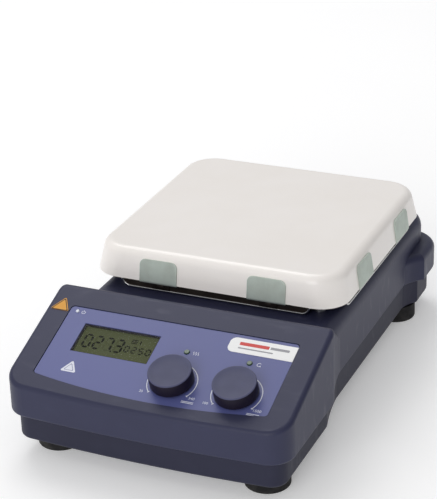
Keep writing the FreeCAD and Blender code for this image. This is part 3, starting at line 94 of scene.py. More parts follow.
class Value:
    """An output of a node that takes part in Python arithmetic."""

    def __init__(self, graph: "Graph", socket: bpy.types.NodeSocket) -> None:
        """Keep the tree and the socket."""
        self.graph = graph
        self.socket = socket

    def output(self, name: Union[str, int]) -> "Value":
        """Another output of the same node."""
        return Value(self.graph, self.socket.node.outputs[name])

    def _math(self, operation: str, first: "Number", second: "Number") -> "Value":
        """A Math node on two values."""
        return self.graph.node("ShaderNodeMath", {"operation": operation}, {0: first, 1: second})

    def __add__(self, other: "Number") -> "Value":
        """Sum."""
        return self._math("ADD", self, other)

    def __radd__(self, other: "Number") -> "Value":
        """Reflected sum."""
        return self._math("ADD", other, self)

    def __sub__(self, other: "Number") -> "Value":
        """Difference."""
        return self._math("SUBTRACT", self, other)

    def __rsub__(self, other: "Number") -> "Value":
        """Reflected difference."""
        return self._math("SUBTRACT", other, self)

    def __mul__(self, other: "Number") -> "Value":
        """Product."""
        return self._math("MULTIPLY", self, other)

    def __rmul__(self, other: "Number") -> "Value":
        """Reflected product."""
        return self._math("MULTIPLY", other, self)

    def __truediv__(self, other: "Number") -> "Value":
        """Quotient."""
        return self._math("DIVIDE", self, other)

    def __rtruediv__(self, other: "Number") -> "Value":
        """Reflected quotient."""
        return self._math("DIVIDE", other, self)

    def __pow__(self, other: "Number") -> "Value":
        """Power."""
        return self._math("POWER", self, other)

    def __mod__(self, other: "Number") -> "Value":
        """Remainder, never negative."""
        return self._math("FLOORED_MODULO", self, other)

    def __gt__(self, other: "Number") -> "Value":
        """One where this is greater, and zero elsewhere."""
        return self._math("GREATER_THAN", self, other)

    def __lt__(self, other: "Number") -> "Value":
        """One where this is less, and zero elsewhere."""
        return self._math("LESS_THAN", self, other)

    def __abs__(self) -> "Value":
        """Size without sign."""
        return self._math("ABSOLUTE", self, 0.0)

    def most(self, other: "Number") -> "Value":
        """The greater of two."""
        return self._math("MAXIMUM", self, other)


Number = Union[Value, float]


class Graph:
    """A node tree, and the one method that adds any node to it."""

    def __init__(self, tree: bpy.types.NodeTree) -> None:
        """Start from an empty tree."""
        self.tree = tree
        tree.nodes.clear()

    def node(self, kind: str, settings: Optional[dict[str, Any]] = None,
             inputs: Optional[dict[Union[str, int], Any]] = None, output: Union[str, int] = 0) -> Value:
        """Add a node.

        Args:
            kind: The node's type.
            settings: Its own settings, set first. "stops" holds a ramp's places and colours.
            inputs: Values or links of its sockets, by name or number.
            output: The output that is handed back.

        Returns:
            That output.
        """
        node = self.tree.nodes.new(kind)
        for name, setting in (settings or {}).items():
            if name == "stops":
                self._set_stops(node.color_ramp, setting)
            else:
                setattr(node, name, setting)
        for key, given in (inputs or {}).items():
            self.feed(node.inputs[key], given)
        return Value(self, node.outputs[output])

    def feed(self, socket: bpy.types.NodeSocket, given: Any) -> None:
        """Link a socket to a value, or to several, or set it to a constant.

        Args:
            socket: The input socket.
            given: A value, a list of values, or a constant.
        """
        if isinstance(given, Value):
            self.tree.links.new(given.socket, socket)
        elif isinstance(given, list):
            for value in given:
                self.tree.links.new(value.socket, socket)
        elif socket.type == "RGBA" and len(given) == 3:
            socket.default_value = (*given, 1.0)
        else:
            socket.default_value = given

    @staticmethod
    def _set_stops(ramp: bpy.types.ColorRamp, stops: Sequence[tuple[float, Colour]]) -> None:
        """Give a ramp its stops.

        Args:
            ramp: The ramp.
            stops: Place and colour of each stop, in order.
        """
        while len(ramp.elements) < len(stops):
            ramp.elements.new(0.5)
        for element, (position, colour) in zip(ramp.elements, stops):
            element.position = position
            element.color = (*colour, 1.0)


class Shader(Graph):
    """The node tree of a material."""

    def place(self, centre: Place = (0, 0, 0), turn: Place = (0, 0, 0), scale: Place = (1, 1, 1)) -> Value:
        """Object coordinates, centred, turned and scaled.

        Args:
            centre: The point that becomes the origin.
            turn: Turn about X, in radians, that lays the piece flat.
            scale: Stretch of the pattern along each axis.

        Returns:
            The coordinates.
        """
        point = self.node("ShaderNodeTexCoord", output="Object")
        if centre != (0, 0, 0):
            point = self.node("ShaderNodeVectorMath", {"operation": "SUBTRACT"}, {0: point, 1: centre})
        if turn != (0, 0, 0) or scale != (1, 1, 1):
            point = self.node("ShaderNodeMapping", inputs={"Vector": point, "Rotation": turn, "Scale": scale})
        return point

    def noise(self, point: Value, size: float, detail: float = 3.0) -> Value:
        """Noise from 0 to 1 whose blotches are about the given size."""
        return self.node("ShaderNodeTexNoise", None, {"Vector": point, "Scale": 1 / size, "Detail": detail})

    def cells(self, point: Value, size: float) -> Value:
        """Distance to the nearest of scattered points about the given size apart."""
        return self.node("ShaderNodeTexVoronoi", None, {"Vector": point, "Scale": 1 / size}, "Distance")

    def spread(self, value: Value, low: float, high: float) -> Value:
        """Stretch the part of a value between two levels over 0 to 1."""
        return self.node("ShaderNodeMapRange", {"clamp": True}, {0: value, 1: low, 2: high, 3: 0.0, 4: 1.0})

    def mix(self, share: Number, first: Any, second: Any) -> Value:
        """Mix two colours."""
        return self.node("ShaderNodeMix", {"data_type": "RGBA"}, {0: share, 6: first, 7: second}, 2)

    def split(self, point: Value) -> tuple[Value, Value, Value]:
        """The three parts of a vector."""
        x = self.node("ShaderNodeSeparateXYZ", inputs={"Vector": point})
        return x, x.output("Y"), x.output("Z")

    def bump(self, height: Value, depth: float, strength: float = 1.0) -> Value:
        """A normal shaped by a height, where 1 stands for the given depth."""
        return self.node("ShaderNodeBump", None, {"Height": height, "Distance": depth, "Strength": strength},
                         "Normal")

    def surface(self, **inputs: Any) -> Value:
        """End the tree in one shader.

        Args:
            inputs: What goes into its sockets, which are named in small letters with underscores.

        Returns:
            The shader.
        """
        named = {key.replace("_", " ").title().replace("Ior", "IOR"): given for key, given in inputs.items()}
        shader = self.node("ShaderNodeBsdfPrincipled", None, named)
        end = self.tree.nodes.new("ShaderNodeOutputMaterial")
        self.tree.links.new(shader.socket, end.inputs["Surface"])
        return shader


# Finishes


@dataclass(frozen=True)
class Finish:
    """A finish: its colour, how rough it is, and the way its material is painted."""

    title: str
    colour: Colour
    roughness: float
    made: ClassVar[dict["Finish", bpy.types.Material]] = {}

    def material(self) -> bpy.types.Material:
        """Give the finish's material, made once.

        Returns:
            The material.
        """
        if self not in self.made:
            material = bpy.data.materials.new(self.title)
            material.use_nodes = True
            self.paint(Shader(material.node_tree))
            self.made[self] = material
        return self.made[self]

    def paint(self, shader: Shader) -> None:
        """Build the material's nodes.

        Args:
            shader: The material's tree.
        """
        raise NotImplementedError

    def shade(self, share: float) -> Colour:
        """The finish's colour, darker or lighter by a share."""
        red, green, blue = self.colour
        return red * share, green * share, blue * share


@dataclass(frozen=True)
class MouldedPlastic(Finish):
    """Injection-moulded plastic: a fine spark grain, faint clouding and a few rubbed places."""

    grain: float = 0.5 * MM
    depth: float = 0.012 * MM
    rubbed: float = 0.25
    specular: float = 0.5

    def paint(self, shader: Shader) -> None:
        """Cloud the colour, rub it in places and cover it with grain.

        Args:
            shader: The material's tree.
        """
        point = shader.place()
        clouds = shader.spread(shader.noise(point, 70 * MM), 0.3, 0.7)
        rubs = shader.spread(shader.noise(shader.place(scale=(1, 3, 1)), 16 * MM, 8), 0.56, 0.72)
        grain = shader.noise(point, self.grain, 2)
        colour = shader.mix(clouds, self.shade(0.95), self.shade(1.06))
        colour = shader.mix(rubs * self.rubbed, colour, self.shade(1.25))
        colour = shader.mix(grain * 0.16, colour, self.shade(0.8))
        shader.surface(base_color=colour, roughness=self.roughness + rubs * -0.08 + grain * 0.08,
                       specular_ior_level=self.specular, normal=shader.bump(grain, self.depth))


@dataclass(frozen=True)
class PrintedFilm(Finish):
    """Polyester overlay with a satin face, a fine tooth and painted shade that darkens its colour towards the
    right.
    """

    def paint(self, shader: Shader) -> None:
        """Paint shade that darkens the colour towards the right across the film, and give it a fine tooth.

        Args:
            shader: The material's tree.
        """
        point = shader.place()
        x, _, _ = shader.split(point)
        # Painted shade: the colour darkens towards the right across the film.
        fall = shader.spread(x + shader.noise(point, 60 * MM) * 0.05, -0.1, 0.14)
        tooth = shader.noise(point, 0.25 * MM, 2)
        wear = shader.spread(shader.noise(point, 9 * MM, 8), 0.6, 0.8)
        # Lighter at the left, darker at the right: painted shade.
        colour = shader.mix(fall, self.shade(1.04), self.shade(0.94))
        colour = shader.mix(wear * 0.12, colour, self.shade(1.3))
        shader.surface(base_color=colour, roughness=self.roughness + wear * 0.06 - tooth * 0.05,
                       specular_ior_level=0.45, normal=shader.bump(tooth, 0.004 * MM))


@dataclass(frozen=True)
class CeramicGlaze(Finish):
    """White glazed glass-ceramic: a clear coat over a faintly uneven body, with hair scratches."""

    stain: Colour = tint(226, 216, 200)

    def paint(self, shader: Shader) -> None:
        """Tone the body, scratch the glaze and let it wave.

        Args:
            shader: The material's tree.
        """
        point = shader.place()
        tone = shader.spread(shader.noise(point, 45 * MM, 5), 0.35, 0.75)
        wave = shader.noise(point, 12 * MM, 1)
        hairs = shader.node("ShaderNodeTexWave", {"wave_type": "BANDS", "bands_direction": "DIAGONAL"},
                            {"Vector": point, "Scale": 60.0, "Distortion": 30.0, "Detail": 3.0}, "Fac")
        hairs = shader.spread(hairs, 0.985, 1.0)
        colour = shader.mix(tone * 0.12, self.colour, self.stain)
        colour = shader.mix(hairs * 0.1, colour, self.shade(0.8))
        shader.surface(base_color=colour, roughness=self.roughness + hairs * 0.04 + tone * 0.04,
                       coat_weight=0.3 - hairs * 0.06, coat_roughness=0.16, specular_ior_level=0.5,
                       normal=shader.bump(wave, 0.05 * MM, 0.5))


class Grain(Enum):
    """Way that the brushing of a metal runs."""

    ALONG_X = (0.03, 1.0, 1.0)
    ALONG_Y = (1.0, 0.03, 1.0)
    ALONG_Z = (1.0, 1.0, 0.03)
    NONE = (1.0, 1.0, 1.0)


@dataclass(frozen=True)
class Metal(Finish):
    """Sheet or drawn metal, brushed one way, with a little tarnish."""

    grain: Grain = Grain.NONE
    streak: float = 0.3 * MM
    tarnish: Colour = tint(120, 112, 100)
    metallic: float = 1.0

    def paint(self, shader: Shader) -> None:
        """Brush the surface and tarnish it in patches.

        Args:
            shader: The material's tree.
        """
        lines = shader.noise(shader.place(scale=self.grain.value), self.streak, 4)
        patches = shader.spread(shader.noise(shader.place(), 14 * MM, 6), 0.45, 0.75)
        colour = shader.mix(patches * 0.22, self.colour, self.tarnish)
        colour = shader.mix(lines * 0.25, colour, self.shade(0.78))
        shader.surface(base_color=colour, metallic=self.metallic - patches * 0.06,
                       roughness=self.roughness + lines * 0.14 + patches * 0.08,
                       normal=shader.bump(lines, 0.006 * MM))


@dataclass(frozen=True)
class CastMetal(Finish):
    """Die-cast or plated metal with a pebbled skin."""

    metallic: float = 1.0
    pebble: float = 0.9 * MM

    def paint(self, shader: Shader) -> None:
        """Pebble the skin and dull its hollows.

        Args:
            shader: The material's tree.
        """
        point = shader.place()
        pebbles = shader.cells(point, self.pebble)
        patches = shader.noise(point, 11 * MM, 5)
        colour = shader.mix(patches, self.shade(0.86), self.shade(1.1))
        colour = shader.mix(pebbles * 0.3, colour, self.shade(0.7))
        shader.surface(base_color=colour, metallic=self.metallic,
                       roughness=self.roughness + patches * 0.12, normal=shader.bump(pebbles, 0.03 * MM))


@dataclass(frozen=True)
class Rubber(Finish):
    """Black moulded rubber with a dusty bloom."""

    bloom_top: float = 12 * MM

    def paint(self, shader: Shader) -> None:
        """Lay bloom over the rubber, most of it near the bench.

        Args:
            shader: The material's tree.
        """
        point = shader.place()
        _, _, z = shader.split(point)
        height = shader.spread(z, 0.0, self.bloom_top)
        dust = shader.spread(shader.noise(point, 6 * MM, 8), 0.4, 0.7) * (1 - height * 0.6)
        grain = shader.noise(point, 0.35 * MM, 3)
        colour = shader.mix(dust * 0.5, self.colour, tint(74, 72, 70))
        shader.surface(base_color=colour, roughness=self.roughness + grain * 0.1 - dust * 0.05,
                       specular_ior_level=0.3, normal=shader.bump(grain, 0.03 * MM))


@dataclass(frozen=True)
class TurnedTop(Finish):
    """Flat face of a knob, with fine rings about its own axis and a painted highlight towards its rim."""

    centre: Place = (0, 0, 0)
    tilt: float = 0.0

    def paint(self, shader: Shader) -> None:
        """Draw rings about the knob's axis and paint a highlight towards its rim.

        Args:
            shader: The material's tree.
        """
        point = shader.place(self.centre, (-self.tilt, 0, 0))
        x, y, _ = shader.split(point)
        radius = (x * x + y * y) ** 0.5
        rings = (radius / (0.45 * MM)) % 1.0
        rings = abs(rings - 0.5) * 2
        soft = shader.noise(point, 0.4 * MM, 3)
        broad = shader.spread(shader.noise(point, 9 * MM, 3), 0.3, 0.7)
        # Painted highlight: the face grows lighter towards its rim.
        edge = shader.spread(radius, 12.9 * MM, 14.6 * MM)
        colour = shader.mix(broad, self.shade(0.93), self.shade(1.07))
        # Lighter at the turned rings, and at the painted rim highlight.
        colour = shader.mix(rings * 0.1 + edge * 0.3, colour, self.shade(1.35))
        shader.surface(base_color=colour, roughness=self.roughness + soft * 0.1,
                       specular_ior_level=0.35, normal=shader.bump(rings * 0.5 + soft, 0.006 * MM))


@dataclass(frozen=True)
class DisplayFace(Finish):
    """Face of a reflective liquid-crystal display, with painted shade of its recess darkening it towards the
    sides and the top, and painted light towards the bottom.
    """

    centre: Place = (0, 0, 0)
    tilt: float = 0.0
    half: tuple[float, float] = (30 * MM, 13 * MM)

    def paint(self, shader: Shader) -> None:
        """Paint the recess's shade towards the face's sides and top, paint light towards its bottom, and rub
        in a fine reflector grain.

        Args:
            shader: The material's tree.
        """
        x, y, _ = shader.split(shader.place(self.centre, (-self.tilt, 0, 0)))
        # Painted shade of the window's recess: darker towards the sides and the top.
        across = shader.spread(abs(x), self.half[0] * 0.72, self.half[0])
        up = shader.spread(y, self.half[1] * 0.35, self.half[1])
        # Painted light: lighter towards the bottom of the face.
        low = shader.spread(0 - y, self.half[1] * 0.1, self.half[1])
        fine = shader.noise(shader.place(), 0.5 * MM, 2)
        blot = shader.noise(shader.place(), 13 * MM, 3)
        # Painted shade at the sides and top; painted light and random blots towards the bottom.
        colour = shader.mix(across * 0.3 + up * 0.45, self.colour, self.shade(0.62))
        colour = shader.mix(low * 0.25 + blot * 0.2, colour, self.shade(1.22))
        colour = shader.mix(fine * 0.2, colour, self.shade(0.85))
        shader.surface(base_color=colour, roughness=self.roughness + fine * 0.08, specular_ior_level=0.06,
                       normal=shader.bump(fine, 0.004 * MM))


@dataclass(frozen=True)
class ClearWindow(Finish):
    """Clear window with a faint smear, mostly seen through."""

    veil: float = 0.04

    def paint(self, shader: Shader) -> None:
        """Let most light through, and a little less at smears.

        Args:
            shader: The material's tree.
        """
        smear = shader.spread(shader.noise(shader.place(scale=(1, 3, 3)), 14 * MM, 5), 0.45, 0.8)
        shader.surface(base_color=shader.mix(smear, self.colour, self.shade(1.3)),
                       alpha=self.veil + smear * 0.02, roughness=self.roughness + smear * 0.12,
                       specular_ior_level=0.5)


@dataclass(frozen=True)
class Ink(Finish):
    """Screen-printed ink, thin in places."""

    thin: float = 0.3
    specular: float = 0.4

    def paint(self, shader: Shader) -> None:
        """Thin the ink in fine specks.

        Args:
            shader: The material's tree.
        """
        point = shader.place()
        specks = shader.spread(shader.noise(point, 0.5 * MM, 4), 0.4, 0.75)
        wash = shader.noise(point, 7 * MM, 3)
        colour = shader.mix(specks * self.thin, self.colour, self.shade(0.82))
        colour = shader.mix(wash * 0.15, colour, self.shade(1.12))
        shader.surface(base_color=colour, roughness=self.roughness + specks * 0.1,
                       specular_ior_level=self.specular, normal=shader.bump(specks, 0.003 * MM))


@dataclass(frozen=True)
class LampLens(Finish):
    """Moulded lenses of unlit indicator lamps; the one far to the left is a pale one."""

    pale: Colour = tint(214, 218, 230)
    pale_left_of: float = -50 * MM

    def paint(self, shader: Shader) -> None:
        """Cloud the lenses and coat them.

        Args:
            shader: The material's tree.
        """
        point = shader.place()
        x, _, _ = shader.split(point)
        cloud = shader.spread(shader.noise(point, 2.2 * MM, 3), 0.35, 0.65)
        colour = shader.mix(cloud, self.shade(0.6), self.shade(1.35))
        colour = shader.mix(x < self.pale_left_of, colour, self.pale)
        shader.surface(base_color=colour, roughness=self.roughness + cloud * 0.08,
                       coat_weight=0.35 + cloud * 0.15, coat_roughness=0.08)


@dataclass(frozen=True)
class CircuitBoard(Finish):
    """Green solder mask over copper tracks."""

    track: float = 3.2 * MM

    def paint(self, shader: Shader) -> None:
        """Lay tracks and pads under the mask.

        Args:
            shader: The material's tree.
        """
        point = shader.place()
        bricks = shader.node("ShaderNodeTexBrick", {"offset": 0.5, "squash": 1.0},
                             {"Vector": point, "Scale": 1 / self.track, "Mortar Size": 0.06,
                              "Brick Width": 1.7, "Row Height": 0.5}, "Fac")
        pads = shader.cells(point, 4.4 * MM) < 0.16
        mask = bricks.most(pads)
        weave = shader.noise(shader.place(scale=(1, 6, 1)), 0.9 * MM, 2)
        colour = shader.mix(mask * 0.55, self.colour, self.shade(2.1))
        colour = shader.mix(pads, colour, tint(196, 186, 160))
        shader.surface(base_color=colour, roughness=self.roughness + weave * 0.1, metallic=pads * 0.7,
                       normal=shader.bump(mask + weave * 0.2, 0.03 * MM))


@dataclass(frozen=True)
class Laminations(Finish):
    """Stack of thin steel sheets seen on edge."""

    sheet: float = 0.5 * MM
    upright: bool = True

    def paint(self, shader: Shader) -> None:
        """Line the stack with its sheets.

        Args:
            shader: The material's tree.
        """
        _, y, z = shader.split(shader.place())
        height = z if self.upright else y
        gap = abs((height / self.sheet) % 1.0 - 0.5) * 2
        lines = shader.spread(gap, 0.7, 1.0)
        rust = shader.spread(shader.noise(shader.place(), 5 * MM, 7), 0.5, 0.8)
        colour = shader.mix(lines * 0.7, self.colour, self.shade(0.35))
        colour = shader.mix(rust * 0.3, colour, tint(120, 88, 66))
        shader.surface(base_color=colour, metallic=0.9 - rust * 0.5, roughness=self.roughness + rust * 0.25,
                       normal=shader.bump(lines, -0.04 * MM))


@dataclass(frozen=True)
class FibreMat(Finish):
    """Pressed mineral-wool pad."""

    def paint(self, shader: Shader) -> None:
        """Tangle the pad's fibres.

        Args:
            shader: The material's tree.
        """
        fibres = shader.noise(shader.place(scale=(1, 5, 1)), 1.6 * MM, 9)
        clumps = shader.noise(shader.place(), 12 * MM, 5)
        colour = shader.mix(shader.spread(fibres, 0.3, 0.7), self.shade(0.78), self.shade(1.05))
        colour = shader.mix(clumps * 0.25, colour, tint(196, 178, 140))
        shader.surface(base_color=colour, roughness=self.roughness + clumps * 0.05, specular_ior_level=0.2,
                       normal=shader.bump(fibres, 0.4 * MM))


@dataclass(frozen=True)
class StripedWire(Finish):
    """Flat cable of parallel wires, one edge marked, with painted shade in the grooves between the wires."""

    pitch: float = 1.27 * MM
    half: float = 12 * MM

    def paint(self, shader: Shader) -> None:
        """Round each wire, paint shade in the grooves between them and mark the edge of the first.

        Args:
            shader: The material's tree.
        """
        x, _, _ = shader.split(shader.place())
        ridge = abs((x / self.pitch) % 1.0 - 0.5) * 2
        first = x < self.pitch - self.half
        dirt = shader.noise(shader.place(), 5 * MM, 4)
        # Painted shade darkens the grooves between the wires; the noise adds real dirt.
        colour = shader.mix(ridge * 0.6 + dirt * 0.2, self.colour, self.shade(0.6))
        colour = shader.mix(first, colour, tint(170, 40, 36))
        shader.surface(base_color=colour, roughness=self.roughness + dirt * 0.1,
                       normal=shader.bump(1 - ridge, 0.35 * MM))


PLASTIC = MouldedPlastic("moulded_slate_blue", tint(48, 50, 76), 0.42, specular=0.32)
# The lower housing gets a darker copy of the housing plastic: painted shade under the upper housing's
# overhang.
SHADED_PAN_PLASTIC = MouldedPlastic("moulded_slate_blue_pan_painted_shade", tint(38, 39, 60), 0.5, specular=0.3)
FILM = PrintedFilm("overlay_film", tint(87, 93, 148), 0.44)
GLAZE = CeramicGlaze("ceramic_glaze", tint(252, 247, 243), 0.3)
CLIP_STEEL = Metal("clip_steel_brushed", tint(196, 206, 198), 0.5, Grain.ALONG_Z, metallic=0.62)
CARRIER_STEEL = Metal("carrier_steel_polished", tint(205, 205, 205), 0.12, Grain.ALONG_X)
# Dark steel as painted shade: it stands in for the shadow in the gap under the ceramic plate, on the carrier,
# the clips' tabs and the rivets.
PAINTED_SHADE_STEEL = Metal("carrier_steel_painted_shade", tint(74, 66, 62), 0.42, Grain.ALONG_X)
ZINC = Metal("zinc_plated_steel", tint(186, 190, 196), 0.3)
BLACK_RUBBER = Rubber("black_rubber", tint(24, 24, 26), 0.7)
KNOB_SIDE = MouldedPlastic("knob_side_black", tint(26, 21, 38), 0.38, grain=0.4 * MM, specular=0.2)
PRINT_WHITE = Ink("print_white", tint(226, 228, 240), 0.5)
MARK_BLACK = Ink("display_mark", tint(8, 10, 8), 0.6, specular=0.02)
MARK_GHOST = Ink("display_mark_off", tint(74, 80, 50), 0.6, specular=0.04)
LABEL_BLACK = Ink("label_outline", tint(40, 34, 30), 0.5)
BADGE_RED = Ink("badge_bar_red", tint(206, 52, 44), 0.35)
BADGE_GREY = Ink("badge_bar_grey", tint(150, 150, 156), 0.35)
GASKET = Rubber("display_gasket_rubber", tint(30, 28, 36), 0.6)
BRASS = Metal("turned_brass", tint(200, 168, 96), 0.3)
GOLD = Metal("gold_flash", tint(222, 184, 104), 0.25)
NICKEL = Metal("nickel_plate", tint(200, 198, 190), 0.24)

NODE_FINISH: dict[str, Finish] = {
    "upper_housing": PLASTIC,
    # Lower housing: darker copy of the housing plastic, as painted shade.
    "lower_housing": SHADED_PAN_PLASTIC,
    "rod_socket": BRASS,
    "panel_overlay": FILM,
    "display_window": ClearWindow("window_clear", tint(70, 74, 70), 0.12),
    "badge_plate": Ink("badge_white", tint(240, 240, 240), 0.3, thin=0.15),
    "hot_surface_label": Ink("label_amber", tint(222, 156, 40), 0.42, thin=0.35),
    "indicator_lenses": LampLens("lens_smoked_green", tint(52, 78, 52), 0.25),
    "control_board": CircuitBoard("mask_green", tint(20, 74, 48), 0.4),
    "board_screws": ZINC,
    "lcd_module": MouldedPlastic("display_case", tint(40, 42, 44), 0.5),
    "encoder_nuts": NICKEL,
    "ceramic_plate": GLAZE,
    "heating_element": CastMetal("heater_mica", tint(150, 120, 84), 0.5, metallic=0.2, pebble=2.4 * MM),
    "insulation_pad": FibreMat("mineral_wool", tint(222, 214, 196), 0.9),
    "plate_sensor": Metal("sensor_sheath", tint(176, 176, 172), 0.28, Grain.ALONG_X),
    # The carrier's dark steel is painted shade of the gap under the plate.
    "plate_carrier": PAINTED_SHADE_STEEL,
    "plate_standoffs": Metal("pillar_steel", tint(170, 172, 176), 0.34, Grain.ALONG_Z),
    "standoff_screws": ZINC,
    "safety_thermostat": MouldedPlastic("thermostat_bakelite", tint(52, 44, 40), 0.35),
    "motor_bracket": Metal("bracket_steel_sheet", tint(168, 170, 170), 0.36, Grain.ALONG_Y),
    "bracket_screws": ZINC,
    "motor_can": MouldedPlastic("motor_paint_black", tint(44, 46, 50), 0.34, rubbed=0.5),
    "motor_end_plate": CastMetal("die_cast_zinc", tint(168, 168, 166), 0.42),
    "motor_stator": Laminations("stator_stack", tint(150, 150, 152), 0.4),
    "bearing_upper": Metal("bearing_steel_ground", tint(198, 200, 202), 0.14),
    "bearing_lower": Metal("bearing_steel_ground", tint(198, 200, 202), 0.14),
    "motor_shaft": Metal("shaft_steel_ground", tint(196, 198, 200), 0.16, Grain.ALONG_Z),
    "motor_rotor": Laminations("rotor_stack", tint(132, 132, 134), 0.38),
    "magnet_carrier": MouldedPlastic("magnet_carrier_nylon", tint(208, 204, 190), 0.5, rubbed=0.1),
    "drive_magnets": CastMetal("magnet_nickel", tint(176, 176, 178), 0.2, pebble=2.0 * MM),
    "motor_screws": ZINC,
    "power_board": CircuitBoard("mask_green_supply", tint(26, 82, 42), 0.42, track=5.0 * MM),
    "power_board_parts": CastMetal("anodised_sink", tint(58, 60, 64), 0.4, metallic=0.6),
    "transformer": Laminations("core_stack", tint(110, 108, 104), 0.45, upright=False),
    "ribbon_cable": StripedWire("ribbon_grey", tint(150, 152, 158), 0.5),
    "rear_panel": CastMetal("rear_powder_coat", tint(70, 74, 92), 0.5, metallic=0.1, pebble=0.6 * MM),
    "mains_inlet": MouldedPlastic("inlet_black", tint(34, 34, 36), 0.42),
    "fuse_drawer": MouldedPlastic("drawer_black", tint(42, 42, 44), 0.36),
    "fuse": Metal("fuse_caps", tint(206, 204, 196), 0.2, Grain.ALONG_X),
    "power_switch_frame": MouldedPlastic("switch_bezel_black", tint(36, 36, 38), 0.4),
    "power_switch_rocker": MouldedPlastic("rocker_black", tint(30, 30, 32), 0.26, grain=0.9 * MM),
    "serial_port": NICKEL,
    "probe_socket": NICKEL,
    "foot_front_left": BLACK_RUBBER,
    "foot_front_right": BLACK_RUBBER,
    "foot_rear_left": BLACK_RUBBER,
    "foot_rear_right": BLACK_RUBBER,
    "heat_encoder": CastMetal("encoder_zinc", tint(166, 166, 160), 0.34),
    "stir_encoder": CastMetal("encoder_zinc", tint(166, 166, 160), 0.34),
    "heat_plunger": MouldedPlastic("plunger_white", tint(206, 206, 202), 0.4),
    "stir_plunger": MouldedPlastic("plunger_white", tint(206, 206, 202), 0.4),
    "heat_knob_shaft": Metal("knob_shaft_steel", tint(190, 192, 192), 0.24),
    "stir_knob_shaft": Metal("knob_shaft_steel", tint(190, 192, 192), 0.24),
}


# Meshes


def reach(node: str, axis: Vector, start: Vector) -> tuple[float, float]:
    """How far a CAD node extends along an axis.

    Args:
        node: The node's name.
        axis: The direction, of length 1.
        start: The point that distances are measured from.

    Returns:
        The lowest and the highest distance.
    """
    along = [(vertex.co - start).dot(axis) for vertex in frame["nodes"][node].data.vertices]
    return min(along), max(along)


def joint(name: str) -> tuple[Vector, Vector]:
    """Point and direction of a joint's axis."""
    found = next(j for j in frame["joints"] if j["name"] == name)
    return Vector(found["pos_m"]), Vector(found["axis"]).normalized()


def link(title: str, mesh: bpy.types.Mesh) -> bpy.types.Object:
    """Put a mesh in the scene under a name.

    Args:
        title: The name.
        mesh: The mesh.

    Returns:
        The object that holds it.
    """
    piece = bpy.data.objects.new(title, mesh)
    bpy.context.scene.collection.objects.link(piece)
    return piece


def mesh_of(body: bmesh.types.BMesh, title: str, smooth: float = 35.0) -> bpy.types.Mesh:
    """Turn a bmesh into a mesh with soft shading up to an angle.

    Args:
        body: The bmesh, which is freed.
        title: The mesh's name.
        smooth: Edges sharper than this many degrees stay sharp.

    Returns:
        The mesh.
    """
    mesh = bpy.data.meshes.new(title)
    body.to_mesh(mesh)
    body.free()
    mesh.shade_smooth()
    mesh.set_sharp_from_angle(angle=math.radians(smooth))
    return mesh


def settle(piece: bpy.types.Object) -> bpy.types.Object:
    """Make a piece's modifiers part of its mesh.

    Args:
        piece: The piece.

    Returns:
        The same piece.
    """
    bpy.context.view_layer.update()
    graph = bpy.context.evaluated_depsgraph_get()
    mesh = bpy.data.meshes.new_from_object(piece.evaluated_get(graph), depsgraph=graph)
    piece.modifiers.clear()
    piece.data = mesh
    return piece


def bevelled(piece: bpy.types.Object, width: float, steps: int = 2, angle: float = 30.0) -> bpy.types.Object:
    """Round a piece's sharp edges and settle it.

    Args:
        piece: The piece.
        width: The rounding's width.
        steps: Faces across each rounding.
        angle: Edges that turn by more than this many degrees are rounded.

    Returns:
        The same piece.
    """
    bevel = piece.modifiers.new("edges", "BEVEL")
    bevel.width = width
    bevel.segments = steps
    bevel.limit_method = "ANGLE"
    bevel.angle_limit = math.radians(angle)
    bevel.harden_normals = False
    settle(piece)
    piece.data.shade_smooth()
    piece.data.set_sharp_from_angle(angle=math.radians(40))
    return piece


def turned(title: str, profile: Sequence[tuple[float, float]], steps: int = 96) -> bpy.types.Mesh:
    """Turn a profile about the Z axis.

    Args:
        title: The mesh's name.
        profile: Radius and height of each corner, from the axis on top, round the outside, to the axis below.
        steps: Faces round the axis.

    Returns:
        The closed mesh.
    """
    body = bmesh.new()
    rows = []
    for radius, height in profile:
        if radius == 0:
            rows.append([body.verts.new((0, 0, height))])
            continue
        angles = [2 * math.pi * k / steps for k in range(steps)]
        rows.append([body.verts.new((radius * math.cos(a), radius * math.sin(a), height)) for a in angles])
    for upper, lower in zip(rows, rows[1:]):
        for k in range(steps):
            ring = [upper[k % len(upper)], lower[k % len(lower)], lower[(k + 1) % len(lower)],
                    upper[(k + 1) % len(upper)]]
            corners = list(dict.fromkeys(ring))
            if len(corners) > 2:
                body.faces.new(corners)
    bmesh.ops.recalc_face_normals(body, faces=body.faces)
    return mesh_of(body, title)


def plate(outline: Sequence[tuple[float, float]], thick: float, hole: Sequence[tuple[float, float]] = ()
          ) -> bmesh.types.BMesh:
    """A flat plate on an outline, from z = 0 up, with a hole whose outline has as many corners.

    Args:
        outline: The outer corners, anticlockwise.
        thick: The plate's thickness.
        hole: The inner corners, in step with the outer ones, or none.

    Returns:
        The plate as a bmesh.
    """
    body = bmesh.new()
    low = [body.verts.new((x, y, 0)) for x, y in outline]
    high = [body.verts.new((x, y, thick)) for x, y in outline]
    count = len(outline)
    loops = [(low, high, 1)]
    if hole:
        inner_low = [body.verts.new((x, y, 0)) for x, y in hole]
        inner_high = [body.verts.new((x, y, thick)) for x, y in hole]
        loops.append((inner_low, inner_high, -1))
        for k in range(count):
            n = (k + 1) % count
            body.faces.new((high[k], high[n], inner_high[n], inner_high[k]))
            body.faces.new((low[n], low[k], inner_low[k], inner_low[n]))
    else:
        body.faces.new(high)
        body.faces.new(list(reversed(low)))
    for under, over, way in loops:
        for k in range(count):
            n = (k + 1) % count
            corners = (under[k], under[n], over[n], over[k])
            body.faces.new(corners if way > 0 else tuple(reversed(corners)))
    return body


